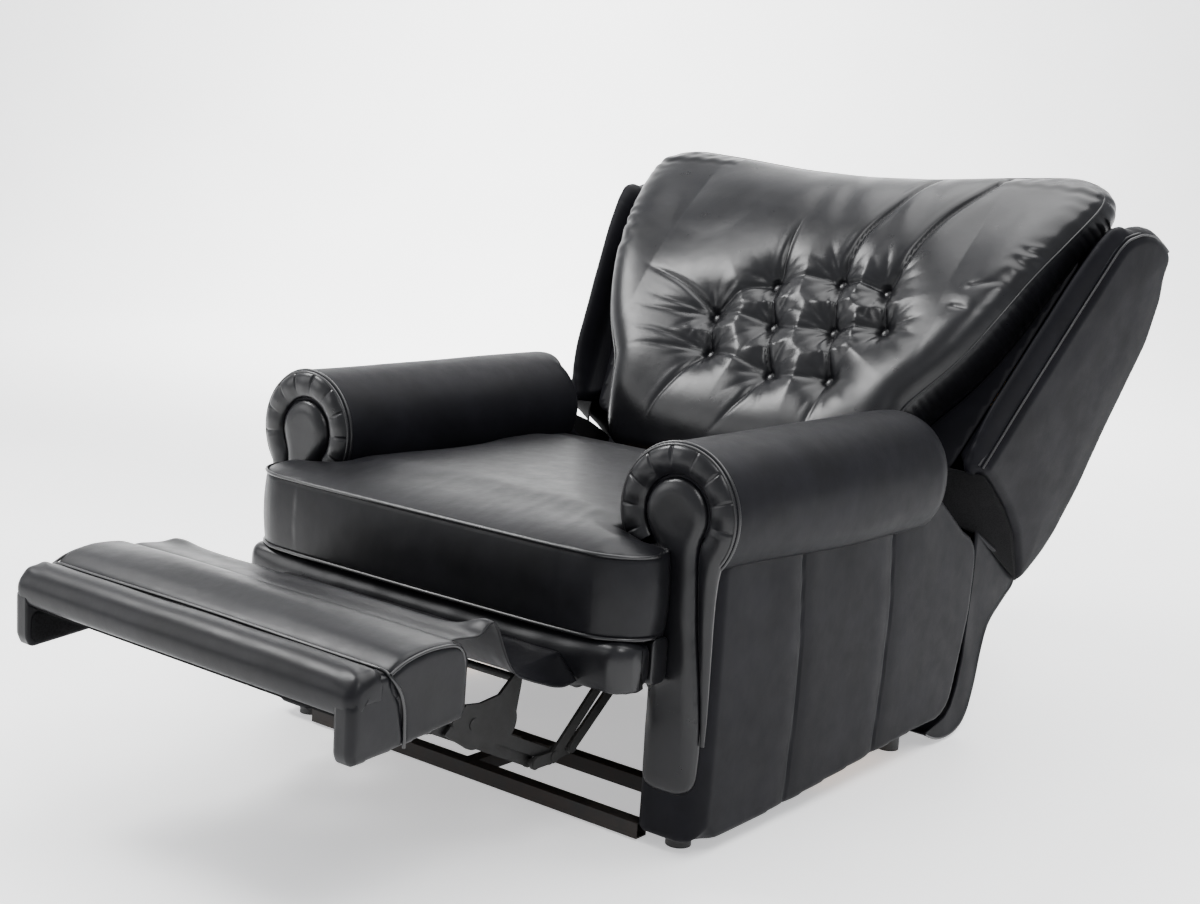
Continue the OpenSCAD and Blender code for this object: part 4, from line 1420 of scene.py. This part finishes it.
class ARMCHAIR_OT_skirt(bpy.types.Operator):
    """S-shaped skirt behind the seat, with a gusset at each end"""
    bl_idname = "armchair.skirt"
    bl_label = "Rear Skirt"

    def execute(self, context):
        top = [tuple(from_back(0, y, z)[1:]) for y, z in ((252, 118), (258, 82.5))]
        outer = rounded(top + [(1006, 245), (976, 225), (950, 209), (933, 187), (919, 140),
                               (909, 90), (892, 42), (876, 22), (849, 9), (812, 6), (780, 9),
                               (748, 20), (732, 28)], 110, 2, False, 2)
        d = np.gradient(outer, axis=0)
        d /= np.linalg.norm(d, axis=1)[:, None]
        side = np.stack([d[:, 1], -d[:, 0]], -1)
        if (outer + side * 10)[40, 0] > outer[40, 0]:
            side = -side
        rings = []
        t = np.linspace(0, 1, len(outer))
        for x in np.linspace(-455, 455, 150):
            wave = 2.0 * np.sin(math.pi * t) * (1 + math.sin(x / 71) * math.sin(x / 33))
            wave = wave * smooth((456 - abs(x)) / 60)
            one = outer + side * (0.5 * wave + 0.2)[:, None]
            two = one + side * 3.5
            loop = np.vstack([one, two[::-1]])
            rings.append(np.stack([np.full(len(loop), x), loop[:, 0], loop[:, 1]], -1))
        obj = loft("rear_skirt_cover", rings, True)
        dress(obj, "back", "leather_arm_black", ["rear_skirt"])
        hem = [(852, 388), (853, 360), (856, 300), (854, 235), (849, 150), (838, 100),
               (822, 63), (800, 45), (770, 38), (733, 31)]
        # the upper part is lining: sewn to the wing's lower edge, drawn in behind the arm; its
        # black cloth is painted shade for the recess under the wing
        rise = [from_wing(-3, y, z / math.cos(FLARE)) for y, z in
                ((252, 92), (215, 111), (147, 143), (68, 158), (-8, 163), (-58, 163))]
        crown = [(456, 852, 384), (449, 847, 388), (440, 838, 392), (428, 820, 398),
                 (416, 808, 408), (406, 797, 424), (401, 788, 446), (399, 784, 470),
                 (401, 786, 492), (404, 794, 505)]
        tip = ribbon("skirt_gusset_top_left", rise, crown, 3.0, 60, 16, 1.5)
        both(tip, "back", "lining_spunbond_and_shade")
        gusset = ribbon("skirt_gusset_left", [(456.2, *q) for q in outer],
                        [(456.2, *q) for q in hem], 4.5, 110, 18, 1.2)
        both(gusset, "back", "leather_arm_black")
        for tag, x in (("left", 455.5), ("right", -455.5)):
            dress(welt("skirt_welt_" + tag, [(x, *q) for q in outer], -0.1), "back",
                  "leather_welt_black")
        return {"FINISHED"}


class ARMCHAIR_OT_stage(bpy.types.Operator):
    """Floor, backdrop, lights and camera"""
    bl_idname = "armchair.stage"
    bl_label = "Stage"

    def execute(self, context):
        scene = context.scene
        deselect()
        bpy.ops.mesh.primitive_plane_add(size=24, location=(0, 0, 0))
        floor = context.object
        floor.name = "studio_floor"
        bpy.ops.object.mode_set(mode="EDIT")
        bpy.ops.mesh.select_all(action="SELECT")
        bpy.ops.transform.translate(value=(0, -6.5, 0))
        bpy.ops.mesh.select_all(action="DESELECT")
        bm = bmesh.from_edit_mesh(floor.data)
        for e in bm.edges:
            e.select = all(v.co.y > 5.4 for v in e.verts)
        bmesh.update_edit_mesh(floor.data)
        bpy.ops.mesh.select_mode(type="EDGE")
        # the sweep: a quarter turn in short straight steps, then the wall
        steps, stride = 16, 0.35
        for k in range(steps):
            a = math.radians(90 / steps * (k + 0.5))
            bpy.ops.mesh.extrude_region_move(TRANSFORM_OT_translate={
                "value": (0, stride * math.cos(a), stride * math.sin(a))})
        bpy.ops.mesh.extrude_region_move(TRANSFORM_OT_translate={"value": (0, 0, 6)})
        bpy.ops.object.mode_set(mode="OBJECT")
        floor.data.transform(Matrix.Rotation(math.radians(37.5), 4, "Z"))
        floor.data.shade_smooth()
        floor.data.materials.append(bpy.data.materials["acrylic_sweep_backlit"])

        world = bpy.data.worlds.new("studio") if scene.world is None else scene.world
        scene.world = world
        world.use_nodes = True
        bg = world.node_tree.nodes.get("Background")
        bg.inputs[0].default_value = (0.94, 0.96, 1.0, 1)
        bg.inputs[1].default_value = 0.85

        def softbox(name, at, aim, size, watts, shape="ELLIPSE"):
            deselect()
            bpy.ops.object.light_add(type="AREA", location=at)
            lamp = context.object
            lamp.name = name
            lamp.data.shape = shape
            lamp.data.size, lamp.data.size_y = size
            lamp.data.energy = watts
            d = Vector(aim) - Vector(at)
            lamp.rotation_euler = d.to_track_quat("-Z", "Y").to_euler()
        softbox("softbox_left", (-2.6, -1.2, 3.6), (0, 0.2, 0.6), (1.5, 1.5), 180)
        softbox("softbox_right", (2.2, -1.5, 3.4), (0.2, 0, 0.5), (1.4, 1.8), 70)
        softbox("softbox_front", (-3.4, -3.4, 1.9), (0, 0, 0.4), (2.4, 2.4), 60)
        softbox("softbox_top", (0.3, 1.6, 4.4), (0, 0.4, 0.4), (5.0, 5.0), 330)
        softbox("softbox_backdrop", (-3.4, 3.2, 3.4), (-4.2, 6.5, 1.0), (3.0, 3.0), 650)

        yaw, pitch, turn = (math.radians(v) for v in (37.532, -10.038, 3.933))
        f = Vector((-math.sin(yaw) * math.cos(pitch), math.cos(yaw) * math.cos(pitch),
                    math.sin(pitch)))
        r = Vector((math.cos(yaw), math.sin(yaw), 0))
        u = r.cross(f)
        right = r * math.cos(turn) + u * math.sin(turn)
        up = -r * math.sin(turn) + u * math.cos(turn)
        deselect()
        bpy.ops.object.camera_add(location=(1.8412, -2.0849 + FRONT * 0.001, 1.047))
        cam = context.object
        cam.name = "camera_main"
        m = Matrix((right, up, -f)).transposed().to_4x4()
        m.translation = cam.location
        cam.matrix_world = m
        cam.data.sensor_fit = "HORIZONTAL"
        focal_px, frame_px = 1785.7, 1200
        cam.data.sensor_width = 36
        cam.data.lens = focal_px / frame_px * 36
        scene.camera = cam
        return {"FINISHED"}


class ARMCHAIR_PT_panel(bpy.types.Panel):
    bl_label = "Armchair"
    bl_idname = "ARMCHAIR_PT_panel"
    bl_space_type = "VIEW_3D"
    bl_region_type = "UI"
    bl_category = "Armchair"

    def draw(self, context):
        col = self.layout.column()
        for group in (context.scene.armchair_sizes, context.scene.armchair_colours):
            for key in group.__annotations__:
                col.prop(group, key)
        for step in STEPS:
            col.operator("armchair." + step)


STEPS = ("finishes", "seat", "apron", "arms", "facings", "footrest", "connector", "back",
         "wings", "rear", "skirt", "stage")
CLASSES = (ChairSizes, ChairColours, ARMCHAIR_OT_finishes, ARMCHAIR_OT_seat,
           ARMCHAIR_OT_apron, ARMCHAIR_OT_arms, ARMCHAIR_OT_facings, ARMCHAIR_OT_footrest,
           ARMCHAIR_OT_connector, ARMCHAIR_OT_back, ARMCHAIR_OT_wings, ARMCHAIR_OT_rear,
           ARMCHAIR_OT_skirt, ARMCHAIR_OT_stage, ARMCHAIR_PT_panel)


def register():
    for c in CLASSES:
        bpy.utils.register_class(c)
    bpy.types.Scene.armchair_sizes = PointerProperty(type=ChairSizes)
    bpy.types.Scene.armchair_colours = PointerProperty(type=ChairColours)


def unregister():
    del bpy.types.Scene.armchair_sizes
    del bpy.types.Scene.armchair_colours
    for c in reversed(CLASSES):
        bpy.utils.unregister_class(c)


def main():
    register()
    for step in STEPS:
        getattr(bpy.ops.armchair, step)()


if __name__ == "__main__":
    main()
